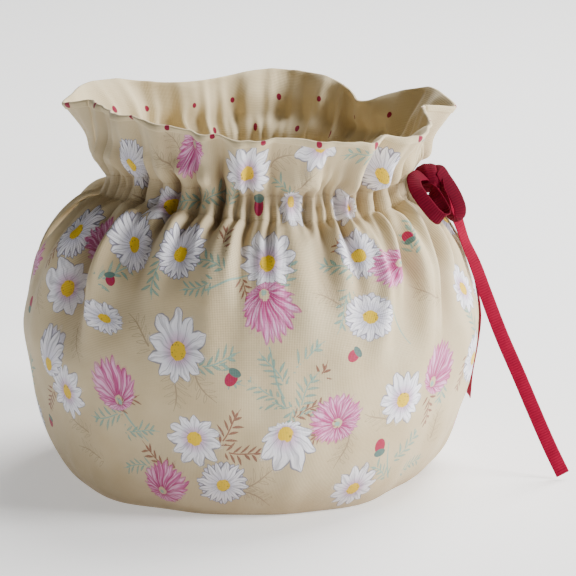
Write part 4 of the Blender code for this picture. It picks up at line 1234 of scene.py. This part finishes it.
dot_place = node("Mapping", flat_place, (0.0, DOT_START, 0.0), None, (1 / MM, 1 / MM, 1 / MM))
thread_parts = node("SeparateXYZ", dot_place).node.outputs
x = node("Math", thread_parts["X"], DOT_PITCH[0], operation="DIVIDE")
row = node("Math", thread_parts["Y"], DOT_PITCH[1] / 2, operation="DIVIDE")
odd = node("Math", node("Math", row, operation="FLOOR"), 2.0, operation="MODULO")
x = node("Math", odd, 0.5, x, operation="MULTIPLY_ADD")
x = node("Math", node("Math", x, operation="FRACT"), 0.5, operation="SUBTRACT")
x = node("Math", x, DOT_PITCH[0], operation="MULTIPLY")
y = node("Math", node("Math", row, operation="FRACT"), 0.5, operation="SUBTRACT")
y = node("Math", y, DOT_PITCH[1] / 2, operation="MULTIPLY")
off = node("VectorMath", node("CombineXYZ", x, y, 0.0), operation="LENGTH").node.outputs["Value"]
dot = node("MapRange", off, DOT_SIZE / 2 - 0.2, DOT_SIZE / 2 + 0.1, 1.0, 0.0)
cloudy = node("TexNoise", dot_place, 0.06, 3.0)
colour = node("Mix", cloudy, linear(LINING_DARK), linear(LINING_LIGHT), data_type="RGBA")
colour = node("Mix", dot, colour, linear(DOT_COLOUR), data_type="RGBA")
tree.links.new(colour, shader.inputs["Base Color"])
bump = node("Bump", *WEAVE_BUMP, None, weave_height(tree, thread_parts))
tree.links.new(bump, shader.inputs["Normal"])

for panel, side in ((0, "front"), (1, "back")):
    lengths = np.linspace(0, side_length[-1], LINING_GRID[1])
    rows = [(float(level_up(v)), None, 0.0, v) for v in lengths]
    rows += [(lv, depth, beyond, lengths[-1] + over) for lv, depth, beyond, over in RIM_ROLL]
    shares = np.linspace(0, 1, LINING_GRID[0])
    share, level = np.meshgrid(shares, [row[0] for row in rows], indexing="ij")
    drop = np.interp(level, [row[0] for row in LINING_DROP], [row[1] for row in LINING_DROP])
    edge_gap = np.minimum(share, 1 - share) * PANEL_WIDTH
    close = np.exp(-edge_gap / 4.0) * np.clip(1 - drop * 2, 0, 1)
    depth = LINING_DEPTH + 2.2 * drop - 0.75 * close - 0.6 * np.clip(level - 17.5, 0, 1.5) / 1.5
    depth = depth * np.clip(level / 1.5 + 0.5, 0, 1)
    for j, row in enumerate(rows):
        if row[1] is not None:
            depth[:, j] = row[1]
    beyond = np.broadcast_to([row[2] for row in rows], level.shape)
    points = cloth_point(panel, share, level, depth, beyond)
    up = np.broadcast_to([row[3] - lengths[-1] for row in rows], level.shape)
    flat = np.stack([share * PANEL_WIDTH, up], axis=-1)
    columns, count = points.shape[:2]
    index = np.arange(columns * count).reshape(columns, count)
    quads = (index[:-1, :-1], index[1:, :-1], index[1:, 1:], index[:-1, 1:])
    faces = np.stack(quads, axis=-1).reshape(-1, 4)
    mesh = bpy.data.meshes.new("lining_" + side)
    mesh.from_pydata((points.reshape(-1, 3) * MM).tolist(), [], faces.tolist())
    layer = mesh.uv_layers.new(name="cloth_flat")
    layer.data.foreach_set("uv", (flat.reshape(-1, 2)[faces.reshape(-1)] * MM).reshape(-1))
    piece = linked_object("lining_" + side, mesh)
    thicken = piece.modifiers.new("thickness", "SOLIDIFY")
    thicken.thickness = LINING_THICKNESS * MM
    thicken.offset = 0.0
    bpy.ops.object.select_all(action="DESELECT")
    piece.select_set(True)
    bpy.context.view_layer.objects.active = piece
    bpy.ops.object.modifier_apply(modifier="thickness")
    piece.data.materials.append(dotted)
    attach(piece, "root")
    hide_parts(side + "_lining")

# Drawn ribbon: the part of the ribbon inside the channel. It shows only where it crosses the two
# gaps, and where its ends come out at the right to make the bow.
DRAWN_DEPTH = 3.0
DRAWN_STEPS = 201
DRAWN_BACK_END = (
    # angle, radius, height over the channel's middle
    (-8.5, 85.3, 5.2), (-5.0, 84.6, 3.6), (-1.0, 82.0, 1.8), (1.2, 77.4, 0.5),
)
DRAWN_FRONT_END = (
    # angle, radius, height over the channel's middle
    (-1.4, 76.4, 0.2), (-0.6, 78.8, 0.6), (-2.6, 80.4, 1.4), (-5.6, 81.2, 2.6), (-8.6, 82.2, 3.8),
)


def drawn_end(table):
    """Points of the ribbon's end outside the channel, from angles, radii and heights."""
    middle = LEVELS[CHANNEL][0] + float(around(0.0, NECK, 1)) - LEVELS[CHANNEL_HEAD][0]
    angles, radii, rises = np.array(table).T
    x = radii * np.cos(np.radians(angles)) + LEVELS[CHANNEL][2]
    y = radii * np.sin(np.radians(angles)) * DEPTH_SHARE
    return np.stack([x, y, middle + rises], axis=-1)


share = np.linspace(0, 1, DRAWN_STEPS)
level = np.full_like(share, float(CHANNEL))
rounds = [cloth_point(panel, share, level, DRAWN_DEPTH) for panel in (1, 0)]
middles = np.concatenate([drawn_end(DRAWN_BACK_END), *rounds, drawn_end(DRAWN_FRONT_END)])
facing = unit(np.cross(np.gradient(middles, axis=0), np.array([0.0, 0.0, 1.0])))
ribbon_drawn = ribbon_strip("drawn_ribbon", middles, facing)
ribbon_drawn.data.materials.append(grosgrain)
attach(ribbon_drawn, "root")
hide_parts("ribbon_drawn")

# Floor: a plain pale sheet under the cosy, far wider than the view
FLOOR_GLOW = 0.46           # the paper's own light, which keeps it pale
bpy.ops.object.select_all(action="DESELECT")
bpy.ops.mesh.primitive_plane_add(size=6.0, location=(0.0, 0.0, 0.0))
floor = bpy.context.object
floor.name = "floor"
paper = new_material("matt_paper", {
    "Base Color": linear("#f4f3f1"), "Roughness": 0.9,
    "Emission Color": linear("#ffffff"), "Emission Strength": FLOOR_GLOW,
})[0]
floor.data.materials.append(paper)

# Light: a pale room, a wide soft lamp overhead that keeps the floor white, and a softer key from
# the front right, so that the bag's left side falls into shade and its folds show.
ROOM_LIGHT = 0.07
LAMPS = (
    # name, place, size, power
    ("overhead_lamp", (0.8, 0.9, 1.7), 1.4, 85.0),
    ("window_lamp", (1.5, -0.38, 0.65), 0.6, 50.0),
)
world = bpy.data.worlds.new("pale_room")
bpy.context.scene.world = world
world.use_nodes = True
world.node_tree.nodes["Background"].inputs["Color"].default_value = linear("#ffffff")
world.node_tree.nodes["Background"].inputs["Strength"].default_value = ROOM_LIGHT
for name, place, size, power in LAMPS:
    bpy.ops.object.light_add(type="AREA", location=place)
    lamp = bpy.context.object
    lamp.name = name
    lamp.data.size = size
    lamp.data.energy = power
    lamp.rotation_euler = (CAMERA_AIM - Vector(place)).to_track_quat("-Z", "Y").to_euler()
